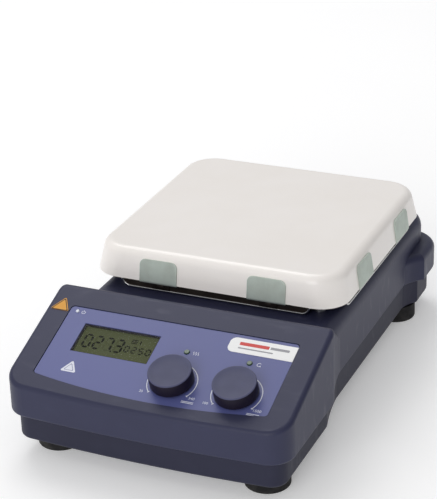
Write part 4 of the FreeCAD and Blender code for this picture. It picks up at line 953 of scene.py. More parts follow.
def rounded_corners(corners: Sequence[tuple[float, float]], radius: float, steps: int = 6
                    ) -> list[tuple[float, float]]:
    """Round the corners of an outline.

    Args:
        corners: The outline, anticlockwise.
        radius: The rounding's radius.
        steps: Runs in each rounding.

    Returns:
        The rounded outline.
    """
    made = []
    count = len(corners)
    for k, corner in enumerate(corners):
        here = Vector(corner)
        before = (Vector(corners[k - 1]) - here).normalized()
        after = (Vector(corners[(k + 1) % count]) - here).normalized()
        half = before.angle(after) / 2
        back = radius / math.tan(half)
        centre = here + (before + after).normalized() * (radius / math.sin(half))
        start, end = here + before * back - centre, here + after * back - centre
        sweep = start.angle_signed(end)
        for step in range(steps + 1):
            turn = Matrix.Rotation(-sweep * step / steps, 2)
            made.append(tuple(centre + turn @ start))
    return made


def triangle(side: float, radius: float, centre: tuple[float, float]) -> list[tuple[float, float]]:
    """Outline of an upright triangle with rounded corners.

    Args:
        side: Its side, before the corners are rounded.
        radius: The corners' radius.
        centre: Its centroid.

    Returns:
        The outline, anticlockwise.
    """
    height = side * math.sqrt(3) / 2
    x, y = centre
    corners = [(x - side / 2, y - height / 3), (x + side / 2, y - height / 3), (x, y + height * 2 / 3)]
    return rounded_corners(corners, radius)


def bar(length: float, width: float, radius: float, centre: tuple[float, float]) -> list[tuple[float, float]]:
    """Outline of a bar with rounded corners.

    Args:
        length: Its length across.
        width: Its height.
        radius: The corners' radius.
        centre: Its middle.

    Returns:
        The outline, anticlockwise.
    """
    x, y = centre
    corners = [(x - length / 2, y - width / 2), (x + length / 2, y - width / 2),
               (x + length / 2, y + width / 2), (x - length / 2, y + width / 2)]
    return rounded_corners(corners, radius, 4)


def joined(bodies: Iterable[bmesh.types.BMesh]) -> bmesh.types.BMesh:
    """Join several bmeshes, which are freed.

    Args:
        bodies: The bmeshes.

    Returns:
        One bmesh that holds them all.
    """
    whole = bmesh.new()
    for body in bodies:
        mesh = bpy.data.meshes.new("part")
        body.to_mesh(mesh)
        body.free()
        whole.from_mesh(mesh)
        bpy.data.meshes.remove(mesh)
    return whole


def numerals(text: str, size: float, thick: float) -> bmesh.types.BMesh:
    """Make numbers as a thin raised mesh, centred on the origin.

    Args:
        text: The digits.
        size: Their size.
        thick: How far they stand up from z = 0.

    Returns:
        The digits as a bmesh.
    """
    curve = bpy.data.curves.new("numerals", "FONT")
    curve.body = text
    curve.size = size
    curve.align_x = "CENTER"
    curve.align_y = "CENTER"
    curve.extrude = thick / 2
    curve.resolution_u = 4
    holder = bpy.data.objects.new("numerals", curve)
    bpy.context.scene.collection.objects.link(holder)
    bpy.context.view_layer.update()
    mesh = bpy.data.meshes.new_from_object(holder)
    mesh.transform(Matrix.Translation((0, 0, thick / 2)))
    body = bmesh.new()
    body.from_mesh(mesh)
    bmesh.ops.remove_doubles(body, verts=body.verts, dist=1e-7)
    bpy.data.objects.remove(holder)
    bpy.data.curves.remove(curve)
    bpy.data.meshes.remove(mesh)
    return body


# Geometry trees


class GeometryGraph(Graph):
    """A geometry node tree with named inputs, run once on a piece and then settled."""

    def __init__(self, title: str) -> None:
        """Start with a geometry going in and one coming out.

        Args:
            title: The tree's name.
        """
        tree = bpy.data.node_groups.new(title, "GeometryNodeTree")
        super().__init__(tree)
        self.keys: dict[str, str] = {}
        self.source = tree.nodes.new("NodeGroupInput")
        self.end = tree.nodes.new("NodeGroupOutput")
        tree.interface.new_socket("Geometry", in_out="OUTPUT", socket_type="NodeSocketGeometry")
        self.geometry = self.take("Geometry", "NodeSocketGeometry")
        self.finish = self.take("Finish", "NodeSocketMaterial")

    def take(self, name: str, kind: str) -> Value:
        """Add a named input.

        Args:
            name: Its name.
            kind: Its socket's type.

        Returns:
            Its value inside the tree.
        """
        item = self.tree.interface.new_socket(name, in_out="INPUT", socket_type=kind)
        self.keys[name] = item.identifier
        return Value(self, self.source.outputs[name])

    def attribute(self, name: str) -> Value:
        """A vector that each point of the input holds under a name."""
        return self.node("GeometryNodeInputNamedAttribute", {"data_type": "FLOAT_VECTOR"}, {"Name": name})

    def close(self, geometry: Value) -> None:
        """End the tree: real geometry in the given finish.

        Args:
            geometry: What comes out.
        """
        real = self.node("GeometryNodeRealizeInstances", None, {"Geometry": geometry})
        dressed = self.node("GeometryNodeSetMaterial", None, {"Geometry": real, "Material": self.finish})
        self.tree.links.new(dressed.socket, self.end.inputs["Geometry"])

    def run(self, title: str, points: bpy.types.Mesh, finish: Finish, values: dict[str, Any]
            ) -> bpy.types.Object:
        """Build a piece with the tree.

        Args:
            title: The piece's name.
            points: The mesh that the tree starts from.
            finish: The piece's finish.
            values: The tree's other inputs, by name.

        Returns:
            The piece, as a plain mesh.
        """
        piece = link(title, points)
        modifier = piece.modifiers.new("build", "NODES")
        modifier.node_group = self.tree
        modifier[self.keys["Finish"]] = finish.material()
        for name, value in values.items():
            modifier[self.keys[name]] = value
        return settle(piece)


@dataclass
class Spot:
    """Where a stamp goes: its place, its turn about X, Y and Z, and its size along each."""

    place: Vector
    turn: Vector = field(default_factory=lambda: Vector((0, 0, 0)))
    size: Vector = field(default_factory=lambda: Vector((1, 1, 1)))


class Stamping(GeometryGraph):
    """Sets one stamp at every point, turned and sized as the point says."""

    def __init__(self) -> None:
        """Build the tree."""
        super().__init__("stamping")
        stamp = self.take("Stamp", "NodeSocketObject")
        shape = self.node("GeometryNodeObjectInfo", {"transform_space": "ORIGINAL"}, {"Object": stamp},
                          "Geometry")
        turn = self.node("FunctionNodeEulerToRotation", None, {"Euler": self.attribute("turn")})
        self.close(self.node("GeometryNodeInstanceOnPoints", None,
                             {"Points": self.geometry, "Instance": shape, "Rotation": turn,
                              "Scale": self.attribute("size")}))

    def press(self, title: str, stamp: bpy.types.Mesh, spots: Sequence[Spot], finish: Finish
              ) -> bpy.types.Object:
        """Repeat a stamp.

        Args:
            title: The piece's name.
            stamp: The mesh that repeats, about the origin.
            spots: Where it goes.
            finish: The piece's finish.

        Returns:
            The piece.
        """
        points = bpy.data.meshes.new(title)
        points.from_pydata([spot.place for spot in spots], [], [])
        for name in ("turn", "size"):
            store = points.attributes.new(name, "FLOAT_VECTOR", "POINT")
            store.data.foreach_set("vector", [c for spot in spots for c in getattr(spot, name)])
        holder = link(title + "_stamp", stamp)
        piece = self.run(title, points, finish, {"Stamp": holder})
        bpy.data.objects.remove(holder)
        return piece


class BeadTree(GeometryGraph):
    """A round bead that follows a path of edges."""

    def __init__(self) -> None:
        """Build the tree."""
        super().__init__("bead")
        width = self.take("Width", "NodeSocketFloat")
        path = self.node("GeometryNodeMeshToCurve", None, {"Mesh": self.geometry})
        section = self.node("GeometryNodeCurvePrimitiveCircle", {"mode": "RADIUS"},
                            {"Resolution": 12, "Radius": width / 2})
        self.close(self.node("GeometryNodeCurveToMesh", None,
                             {"Curve": path, "Profile Curve": section, "Fill Caps": True}))


class ScaleTree(GeometryGraph):
    """A dial's printed scale: an arc about the origin with a cross stroke at each end and between."""

    def __init__(self) -> None:
        """Build the tree."""
        super().__init__("dial_scale")
        radius = self.take("Radius", "NodeSocketFloat")
        start = self.take("Start", "NodeSocketFloat")
        sweep = self.take("Sweep", "NodeSocketFloat")
        width = self.take("Line Width", "NodeSocketFloat")
        thick = self.take("Thickness", "NodeSocketFloat")
        strokes = self.take("Strokes", "NodeSocketInt")
        length = self.take("Stroke Length", "NodeSocketFloat")
        arc = self.node("GeometryNodeCurveArc", {"mode": "RADIUS"},
                        {"Resolution": 96, "Radius": radius, "Start Angle": start, "Sweep Angle": sweep})
        section = self.node("GeometryNodeCurvePrimitiveQuadrilateral", {"mode": "RECTANGLE"},
                            {"Width": width, "Height": thick})
        line = self.node("GeometryNodeCurveToMesh", None,
                         {"Curve": arc, "Profile Curve": section, "Fill Caps": True})
        points = self.node("GeometryNodeCurveToPoints", {"mode": "COUNT"}, {"Curve": arc, "Count": strokes})
        size = self.node("ShaderNodeCombineXYZ", None, {"X": length, "Y": width, "Z": thick})
        stroke = self.node("GeometryNodeMeshCube", None, {"Size": size})
        place = self.node("GeometryNodeInputPosition")
        outward = self.node("FunctionNodeAlignRotationToVector", {"axis": "X"}, {"Vector": place})
        marks = self.node("GeometryNodeInstanceOnPoints", None,
                          {"Points": points, "Instance": stroke, "Rotation": outward})
        self.close(self.node("GeometryNodeJoinGeometry", None, {"Geometry": [line, marks]}))


@dataclass
class Workshop:
    """What every sub-assembly shares: the trees, and the way a piece is handed over."""

    stamping: Stamping = field(default_factory=Stamping)
    scale: ScaleTree = field(default_factory=ScaleTree)
    bead: BeadTree = field(default_factory=BeadTree)

    def hand_over(self, piece: bpy.types.Object, body: str, slot: str, *nodes: str) -> bpy.types.Object:
        """Tie a finished piece to its body.

        Args:
            piece: The piece, in place.
            body: The CAD body that it moves with.
            slot: A material slot's name; not used.
            nodes: CAD nodes that it replaces.

        Returns:
            The piece.
        """
        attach(piece, body)
        if nodes:
            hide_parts(*nodes)
        LOG.info("piece %s rides %s, %d faces", piece.name, body, len(piece.data.polygons))
        return piece

    def flat(self, title: str, body: bmesh.types.BMesh, finish: Finish, matrix: Matrix) -> bpy.types.Object:
        """Make a piece from a bmesh that lies about the origin.

        Args:
            title: The piece's name.
            body: The bmesh.
            finish: The piece's finish.
            matrix: The move that puts it in place.

        Returns:
            The piece, dressed and in place.
        """
        mesh = mesh_of(body, title)
        mesh.transform(matrix)
        mesh.materials.append(finish.material())
        return link(title, mesh)


# The control panel's axes


@dataclass
class PanelAxes:
    """The sloping panel: u to the right from its middle, v up the slope from the knobs' line, n outwards."""

    origin: Vector
    normal: Vector

    @classmethod
    def of_record(cls) -> "PanelAxes":
        """Read the axes from the joint that turns the heat knob."""
        place, normal = joint("heat_knob_turn")
        return cls(Vector((0, place.y, place.z)), normal)

    @property
    def slope(self) -> float:
        """Tilt of the panel about X, in radians."""
        return math.atan2(-self.normal.y, self.normal.z)

    def matrix(self, u: float = 0.0, v: float = 0.0, n: float = 0.0) -> Matrix:
        """The move that takes a mesh about the origin to a place on the panel."""
        turn = Matrix.Rotation(self.slope, 4, "X")
        return Matrix.Translation(self.origin) @ turn @ Matrix.Translation((u, v, n))

    def point(self, u: float, v: float, n: float) -> Vector:
        """A place on the panel, in the row frame."""
        return self.matrix(u, v, n).translation

    def patch(self, node: str) -> tuple[Vector, Vector]:
        """Measure a CAD node in the panel's axes.

        Args:
            node: The node's name.

        Returns:
            Its lowest and its highest corner.
        """
        up = Matrix.Rotation(self.slope, 3, "X") @ Vector((0, 1, 0))
        spans = [reach(node, axis, self.origin) for axis in (Vector((1, 0, 0)), up, self.normal)]
        return Vector([low for low, _ in spans]), Vector([high for _, high in spans])


# Sub-assemblies


@dataclass
class Studio:
    """Pale floor, soft lights and the camera."""

    azimuth: float = 24.03
    elevation: float = 24.77
    roll: float = -1.81
    distance: float = 1332.1 * MM
    aim_height: float = 56 * MM
    shift_right: float = -14.1 * MM
    shift_up: float = 42.07 * MM
    lens: float = 125.82
    sensor: float = 36.0
    floor_half: float = 6.0

    def build(self) -> None:
        """Make the floor, the lights and the camera."""
        self.add_floor()
        self.add_world()
        self.add_light("softbox_top", Vector((-0.8, 0.85, 1.85)), Vector((0, 0.05, 0.05)), 1.2, 13.0)
        self.add_light("softbox_front", Vector((0.1, -2.2, 1.0)), Vector((0, 0, 0.08)), 1.2, 15.5)
        self.add_camera()
        bpy.context.scene.view_settings.view_transform = "Standard"
        LOG.info("studio ready")

    def add_floor(self) -> None:
        """A matt pale floor."""
        body = bmesh.new()
        bmesh.ops.create_grid(body, x_segments=1, y_segments=1, size=self.floor_half)
        floor = link("floor", mesh_of(body, "floor"))
        material = bpy.data.materials.new("floor_matt")
        material.use_nodes = True
        shader = Shader(material.node_tree)
        tone = shader.noise(shader.place(), 0.4, 2)
        shader.surface(base_color=shader.mix(tone, (0.86, 0.86, 0.87), (0.9, 0.9, 0.9)), roughness=0.7,
                       specular_ior_level=0.1, emission_color=(1, 1, 1), emission_strength=0.26)
        floor.data.materials.append(material)

    def add_world(self) -> None:
        """A pale surround, brighter overhead and dimmer to the right."""
        world = bpy.data.worlds.new("surround")
        world.use_nodes = True
        graph = Graph(world.node_tree)
        across = graph.node("ShaderNodeSeparateXYZ", None,
                            {"Vector": graph.node("ShaderNodeTexCoord", output="Generated")})
        rise = graph.node("ShaderNodeMapRange", {"clamp": True},
                          {0: across.output("Z"), 1: 0.0, 2: 0.8, 3: 0.55, 4: 0.62})
        fall = graph.node("ShaderNodeMapRange", {"clamp": True}, {0: across, 1: 0.1, 2: 0.9, 3: 1.0, 4: 0.3})
        light = graph.node("ShaderNodeBackground", None, {"Color": (1, 1, 1), "Strength": rise * fall})
        end = graph.tree.nodes.new("ShaderNodeOutputWorld")
        graph.tree.links.new(light.socket, end.inputs["Surface"])
        bpy.context.scene.world = world

    def add_light(self, title: str, place: Vector, aim: Vector, size: float, power: float) -> None:
        """A square soft light.

        Args:
            title: Its name.
            place: Where it stands.
            aim: The point it faces.
            size: Its side.
            power: Its power in watts.
        """
        light = bpy.data.lights.new(title, "AREA")
        light.size = size
        light.energy = power
        holder = bpy.data.objects.new(title, light)
        bpy.context.scene.collection.objects.link(holder)
        holder.location = place
        holder.rotation_mode = "QUATERNION"
        holder.rotation_quaternion = (aim - place).to_track_quat("-Z", "Y")

    def add_camera(self) -> None:
        """The camera, at its angle and distance."""
        turn, rise, roll = (math.radians(a) for a in (self.azimuth, self.elevation, self.roll))
        right = Vector((math.cos(turn), math.sin(turn), 0))
        back = Vector((math.sin(turn) * math.cos(rise), -math.cos(turn) * math.cos(rise), math.sin(rise)))
        up = back.cross(right)
        across = right * math.cos(roll) + up * math.sin(roll)
        upright = up * math.cos(roll) - right * math.sin(roll)
        data = bpy.data.cameras.new("camera")
        data.lens = self.lens
        data.sensor_width = self.sensor
        data.clip_start = 0.05
        data.clip_end = 50.0
        camera = bpy.data.objects.new("camera", data)
        bpy.context.scene.collection.objects.link(camera)
        place = (Vector((0, 0, self.aim_height)) + back * self.distance + right * self.shift_right
                 + up * self.shift_up)
        facing = Matrix((across, upright, back)).transposed().to_4x4()
        camera.matrix_world = Matrix.Translation(place) @ facing
        bpy.context.scene.camera = camera


@dataclass
class Casing:
    """Screws under the lower housing and in the feet, with their cross recesses."""

    shop: Workshop
    head: float = 7.5 * MM
    head_height: float = 2.4 * MM
    shank: float = 4.0 * MM
    recess: float = 4.4 * MM
    recess_width: float = 1.1 * MM
    recess_depth: float = 1.3 * MM
    point: float = 1.2 * MM

    def build(self) -> None:
        """Make the screws that replace the plain ones."""
        for title, node in (("housing_screw_set", "housing_screws"), ("foot_screw_set", "foot_screws")):
            low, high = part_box(node)
            stamp = self.screw(high.z - low.z)
            spots = [Spot(Vector((x, y, low.z))) for x, y in self.centres(node)]
            piece = self.shop.stamping.press(title, stamp, spots, ZINC)
            self.shop.hand_over(piece, "housing", "screw_steel", node)

    def centres(self, node: str) -> list[tuple[float, float]]:
        """Find the screws of a CAD node from the corners of their heads.

        Args:
            node: The node's name.

        Returns:
            The middle of each screw.
        """
        low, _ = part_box(node)
        heads = [v.co for v in frame["nodes"][node].data.vertices if v.co.z < low.z + self.head_height / 2]
        found: list[list[Vector]] = []
        for corner in heads:
            near = next((g for g in found if (g[0].xy - corner.xy).length < 1.2 * self.head), None)
            if near is None:
                found.append([corner])
            else:
                near.append(corner)
        middles = []
        for group in found:
            xs, ys = [c.x for c in group], [c.y for c in group]
            middles.append(((min(xs) + max(xs)) / 2, (min(ys) + max(ys)) / 2))
        return middles

    def screw(self, length: float) -> bpy.types.Mesh:
        """Make a pan-head screw with a cross recess, its head down at z = 0 and its shank up.

        Args:
            length: Its whole length.

        Returns:
            The screw's mesh.
        """
        head, shank, height = self.head / 2, self.shank / 2, self.head_height
        profile = [(0, length), (shank * 0.6, length), (shank, length - self.point), (shank, height),
                   (head, height), (head, height * 0.45), (head * 0.86, height * 0.12), (head * 0.66, 0),
                   (0, 0)]
        body = link("screw_blank", turned("screw_blank", profile, 40))
        arm, half = self.recess / 2, self.recess_width / 2
        for k, outline in enumerate((bar(2 * arm, 2 * half, half * 0.3, (0, 0)),
                                     bar(2 * half, 2 * arm, half * 0.3, (0, 0)))):
            mesh = mesh_of(plate(outline, self.recess_depth * 2), "recess")
            mesh.transform(Matrix.Translation((0, 0, -self.recess_depth + k * 0.01 * MM)))
            tool = link("recess", mesh)
            cut = body.modifiers.new("recess", "BOOLEAN")
            cut.operation = "DIFFERENCE"
            cut.solver = "EXACT"
            cut.object = tool
            settle(body)
            bpy.data.objects.remove(tool)
        stamp = body.data
        bpy.data.objects.remove(body)
        stamp.shade_smooth()
        stamp.set_sharp_from_angle(angle=math.radians(35))
        return stamp


@dataclass
class HotPlate:
    """Clips and rivets that hold the ceramic top to its carrier."""

    shop: Workshop
    clip_width: float = 30 * MM
    clip_thick: float = 1.0 * MM
    clip_corner: float = 4.5 * MM
    tab_width: float = 14 * MM
    bend: float = 1.6 * MM
    spacing: float = 43 * MM
    lean: float = 0.1532
    rivet_head: float = 5.1 * MM
    flange_half: float = 75.0 * MM
    flange_corner: float = 7.0 * MM
    bead: float = 1.5 * MM
    bead_top: float = 1.5 * MM
    bend_steps: int = 8
    under_gap: float = 0.1 * MM
    strap_shares: tuple[float, ...] = (0.2, 0.4, 0.55, 0.66, 0.76, 0.84, 0.9, 0.95, 0.98, 1.0)
    columns: int = 12
    rivet_length: float = 3.1 * MM
    rivet_shank: float = 1.5 * MM

    def build(self) -> None:
        """Make the clips, the rivets and the carrier's bright rims."""
        low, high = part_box("ceramic_plate")
        self.centre = Vector(((low.x + high.x) / 2, (low.y + high.y) / 2, 0))
        self.foot = low.z
        self.add_clips()
        self.add_rivets()
        self.add_rims()

    def add_rims(self) -> None:
        """A polished bead along the lower edge of each of the carrier's flanges."""
        low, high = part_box("plate_carrier")
        half, corner, foot = self.flange_half, self.flange_corner, low.z + self.bead / 2
        top = high.z - self.bead_top
        line = [Vector((0, -half, top)), Vector((0, -half, foot + corner))]
        bends = [(-half + corner, math.pi, 1.5 * math.pi), (half - corner, 1.5 * math.pi, 2 * math.pi)]
        for middle, start, end in bends:
            for step in range(1, self.bend_steps + 1):
                angle = start + (end - start) * step / self.bend_steps
                y = middle + corner * math.cos(angle)
                line.append(Vector((0, y, foot + corner + corner * math.sin(angle))))
        line.append(Vector((0, half, top)))
        path = bpy.data.meshes.new("rim")
        path.from_pydata(line, [(k, k + 1) for k in range(len(line) - 1)], [])
        stamp = self.shop.bead.run("rim_blank", path, CARRIER_STEEL, {"Width": self.bead})
        mesh = stamp.data
        mesh.materials.clear()
        bpy.data.objects.remove(stamp)
        outer = high.x + self.bead * 0.1
        spots = []
        for quarter in range(4):
            place = self.centre + Matrix.Rotation(quarter * math.pi / 2, 3, "Z") @ Vector((outer, 0, 0))
            spots.append(Spot(place, Vector((0, 0, quarter * math.pi / 2))))
        piece = self.shop.stamping.press("carrier_rim", mesh, spots, CARRIER_STEEL)
        self.shop.hand_over(piece, "housing", "carrier_steel")

    def quarter_spots(self, x: float, z: float) -> list[Spot]:
        """Set two spots on each of the four sides, turned to face outwards.

        Args:
            x: How far out from the plate's middle.
            z: Their height.

        Returns:
            The eight spots.
        """
        spots = []
        for quarter in range(4):
            turn = Matrix.Rotation(quarter * math.pi / 2, 3, "Z")
            for side in (-1, 1):
                place = self.centre + turn @ Vector((x, side * self.spacing, 0))
                spots.append(Spot(Vector((place.x, place.y, z)), Vector((0, 0, quarter * math.pi / 2))))
        return spots

    def clip_line(self) -> list[tuple[float, float]]:
        """Draw the clip's middle line from the foot of its tab to its top.

        Returns:
            The line's points, outwards and up.
        """
        low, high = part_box("plate_clips")
        _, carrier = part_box("plate_carrier")
        half = self.clip_thick / 2
        inner, outer = carrier.x + half, high.x - half
        under = self.foot - self.under_gap - half
        top = high.z
        corners = [Vector((inner, low.z)), Vector((inner, under)), Vector((outer, under)),
                   Vector((outer - self.lean * (top - under), top))]
        line = [corners[0]]
        for before, corner, after in zip(corners, corners[1:], corners[2:]):
            start = corner + (before - corner).normalized() * self.bend
            end = corner + (after - corner).normalized() * self.bend
            for step in range(7):
                share = step / 6
                line.append(start.lerp(corner, share).lerp(corner.lerp(end, share), share))
        foot_of_strap = line[-1]
        rise = corners[-1] - foot_of_strap
        line += [foot_of_strap + rise * share for share in self.strap_shares]
        return [tuple(point) for point in line]

    def half_width(self, place: int, line: Sequence[tuple[float, float]]) -> float:
        """Half of the clip's width at a place along its line.

        Args:
            place: The number of the point.
            line: The clip's middle line.

        Returns:
            The half width there.
        """
        top = line[-1][1]
        if place < 5:
            return self.tab_width / 2
        left = top - line[place][1]
        if left >= self.clip_corner:
            return self.clip_width / 2
        inset = self.clip_corner - math.sqrt(self.clip_corner ** 2 - (self.clip_corner - left) ** 2)
        return self.clip_width / 2 - inset

    def add_clips(self) -> None:
        """Bend one clip and set it round the top."""
        line = self.clip_line()
        body = bmesh.new()
        rows = []
        for place, (x, z) in enumerate(line):
            half = self.half_width(place, line)
            rows.append([body.verts.new((x, half * (2 * k / self.columns - 1), z))
                         for k in range(self.columns + 1)])
        for upper, lower in zip(rows[1:], rows):
            for k in range(self.columns):
                body.faces.new((lower[k], lower[k + 1], upper[k + 1], upper[k]))
        bmesh.ops.recalc_face_normals(body, faces=body.faces)
        stamp = link("clip_blank", mesh_of(body, "clip_blank"))
        skin = stamp.modifiers.new("thickness", "SOLIDIFY")
        skin.thickness = self.clip_thick * 0.98
        skin.offset = 0
        settle(stamp)
        bevelled(stamp, 0.22 * MM)
        mesh = stamp.data
        bpy.data.objects.remove(stamp)
        piece = self.shop.stamping.press("plate_clip_set", mesh, self.quarter_spots(0, 0), CLIP_STEEL)
        # The clips' tabs under the plate get the dark steel: painted shade of the gap.
        piece.data.materials.append(PAINTED_SHADE_STEEL.material())
        shaded_index = len(piece.data.materials) - 1
        for polygon in piece.data.polygons:
            if polygon.center.z < self.foot - self.clip_thick:
                polygon.material_index = shaded_index
        self.shop.hand_over(piece, "housing", "clip_steel", "plate_clips")

    def add_rivets(self) -> None:
        """Domed rivets through the clips' tabs."""
        low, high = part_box("clip_rivets")
        _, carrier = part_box("plate_carrier")
        outer = carrier.x + self.clip_thick
        head, dome = self.rivet_head / 2, high.x - outer
        length = high.x - 2 * self.clip_thick - carrier.x + self.rivet_length
        shank = self.rivet_shank
        profile = [(0, dome), (head * 0.4, dome * 0.94), (head * 0.75, dome * 0.7), (head, dome * 0.15),
                   (head, 0), (shank, 0), (shank, -length * 0.7), (shank * 1.5, -length * 0.7),
                   (shank * 1.5, -length), (0, -length)]
        mesh = turned("rivet", profile, 28)
        mesh.transform(Matrix.Rotation(math.pi / 2, 4, "Y"))
        spots = self.quarter_spots(outer, (low.z + high.z) / 2)
        # The rivets get the dark steel: painted shade of the gap under the plate.
        piece = self.shop.stamping.press("clip_rivet_set", mesh, spots, PAINTED_SHADE_STEEL)
        self.shop.hand_over(piece, "housing", "rivet_steel", "clip_rivets")


class Segment(Enum):
    """The seven strokes of a numeral, as middle across, middle up, and whether it is upright."""

    TOP = (0.5, 1.0, False)
    UPPER_LEFT = (0.0, 0.75, True)
    UPPER_RIGHT = (1.0, 0.75, True)
    MIDDLE = (0.5, 0.5, False)
    LOWER_LEFT = (0.0, 0.25, True)
    LOWER_RIGHT = (1.0, 0.25, True)
    BOTTOM = (0.5, 0.0, False)


DIGITS: dict[str, tuple[Segment, ...]] = {
    "0": (Segment.TOP, Segment.UPPER_LEFT, Segment.UPPER_RIGHT, Segment.LOWER_LEFT, Segment.LOWER_RIGHT,
          Segment.BOTTOM),
    "2": (Segment.TOP, Segment.UPPER_RIGHT, Segment.MIDDLE, Segment.LOWER_LEFT, Segment.BOTTOM),
    "3": (Segment.TOP, Segment.UPPER_RIGHT, Segment.MIDDLE, Segment.LOWER_RIGHT, Segment.BOTTOM),
    "5": (Segment.TOP, Segment.UPPER_LEFT, Segment.MIDDLE, Segment.LOWER_RIGHT, Segment.BOTTOM),
    "7": (Segment.TOP, Segment.UPPER_RIGHT, Segment.LOWER_RIGHT),
}


@dataclass
class Readout:
    """One row of numerals on the display."""

    digits: str
    left: float
    foot: float
    width: float
    height: float
    pitch: float
    stroke: float

    def spots(self, lit: bool) -> list[tuple[float, float, float, bool]]:
        """Strokes of the row.

        Args:
            lit: Whether to give those that show, or those that don't.

        Returns:
            For each its middle across and up, its length, and whether it is upright.
        """
        made = []
        for place, digit in enumerate(self.digits):
            x = self.left + place * self.pitch
            for segment in Segment:
                if (segment in DIGITS[digit]) is not lit:
                    continue
                across, up, upright = segment.value
                length = (self.height / 2 if upright else self.width) - self.stroke * 0.35
                made.append((x + across * self.width, self.foot + up * self.height, length, upright))
        return made


@dataclass
class Display:
    """The display behind its window: gasket, face and numerals."""

    shop: Workshop
    axes: PanelAxes
    gasket_width: float = 0.9 * MM
    face_thick: float = 0.5 * MM
    mark_thick: float = 0.05 * MM
    lift: float = 0.01 * MM
    mark_lift: float = 0.02 * MM
    fit: float = 0.1 * MM
    point: float = 0.5
    dot: tuple[float, float] = (28.4 * MM, 7.2 * MM)
    coil: tuple[float, float] = (42.2 * MM, 18.2 * MM)
    coil_pitch: float = 1.5 * MM
    stem: tuple[float, float] = (47.0 * MM, 19.7 * MM)
    rows: tuple[Readout, ...] = (
        Readout("0273", 5.0 * MM, 7.4 * MM, 5.2 * MM, 11.6 * MM, 8.3 * MM, 1.7 * MM),
        Readout("0250", 37.6 * MM, 9.2 * MM, 3.1 * MM, 5.4 * MM, 5.5 * MM, 1.05 * MM),
    )

    def build(self) -> None:
        """Make the gasket, the face and its marks."""
        low, high = self.axes.patch("display_window")
        _, module = self.axes.patch("lcd_module")
        self.corner = Vector((low.x, low.y, module.z))
        self.size = Vector((high.x - low.x, high.y - low.y, low.z - module.z))
        self.add_gasket()
        self.add_face()
        self.add_marks(True, "display_numerals", MARK_BLACK)
        self.add_marks(False, "display_ghosts", MARK_GHOST)
        self.add_symbols()

    def at(self, x: float, y: float, n: float = 0.0) -> Matrix:
        """Move to a place on the display's face, from its lower left corner."""
        return self.axes.matrix(self.corner.x + x, self.corner.y + y, self.corner.z + n)

    def add_gasket(self) -> None:
        """A dark rubber frame round the opening's walls."""
        width, height = self.size.x - self.fit, self.size.y - self.fit
        outer = bar(width, height, 0.4 * MM, (self.size.x / 2, self.size.y / 2))
        inner = bar(width - 2 * self.gasket_width, height - 2 * self.gasket_width, 0.3 * MM,
                    (self.size.x / 2, self.size.y / 2))
        body = plate(outer, self.size.z - self.fit / 2, inner)
        piece = self.shop.flat("display_gasket", body, GASKET, self.at(0, 0, self.lift))
        self.shop.hand_over(piece, "housing", "rubber")

    def add_face(self) -> None:
        """The display's face."""
        trim = 2 * (self.gasket_width + self.fit)
        centre = (self.size.x / 2, self.size.y / 2)
        outline = bar(self.size.x - trim, self.size.y - trim, 0.2 * MM, centre)
        middle = self.at(*centre).translation
        finish = DisplayFace("display_reflector_painted_shade", tint(82, 88, 56), 0.6, tuple(middle), self.axes.slope,
                             (self.size.x / 2, self.size.y / 2))
        body = plate(outline, self.face_thick)
        piece = self.shop.flat("display_face", body, finish, self.at(0, 0, self.lift))
        self.shop.hand_over(piece, "housing", "display_module")

    def add_marks(self, lit: bool, title: str, finish: Finish) -> None:
        """Set the strokes that show, or those that don't.

        Args:
            lit: Whether to set those that show.
            title: The piece's name.
            finish: Its finish.
        """
        shoulder = 1.0 - self.point
        outline = [(-1.0, 0.0), (-shoulder, -0.5), (shoulder, -0.5), (1.0, 0.0), (shoulder, 0.5),
                   (-shoulder, 0.5)]
        stamp = mesh_of(plate(outline, 1.0), "stroke")
        spots = []
        for row in self.rows:
            for x, y, length, upright in row.spots(lit):
                place = self.at(x, y, self.face_thick + self.mark_lift).translation
                turn = (Matrix.Rotation(self.axes.slope, 3, "X")
                        @ Matrix.Rotation(math.pi / 2 if upright else 0.0, 3, "Z")).to_euler()
                thick = self.mark_thick if lit else self.mark_thick * 0.5
                spots.append(Spot(place, Vector(turn), Vector((length / 2, row.stroke, thick))))
        piece = self.shop.stamping.press(title, stamp, spots, finish)
        self.shop.hand_over(piece, "housing", "display_module")

    def add_symbols(self) -> None:
        """Decimal point, and a plain coil-and-stem sign above the small row."""
        dot = bar(1.3 * MM, 1.3 * MM, 0.4 * MM, self.dot)
        coil = [bar(4.8 * MM, 0.8 * MM, 0.3 * MM, (self.coil[0], self.coil[1] + self.coil_pitch * k))
                for k in range(3)]
        stem = bar(1.0 * MM, 3.4 * MM, 0.4 * MM, self.stem)
        body = joined(plate(outline, self.mark_thick) for outline in [dot, stem, *coil])
        place = self.at(0, 0, self.face_thick + self.mark_lift)
        piece = self.shop.flat("display_symbols", body, MARK_BLACK, place)
        self.shop.hand_over(piece, "housing", "display_module")


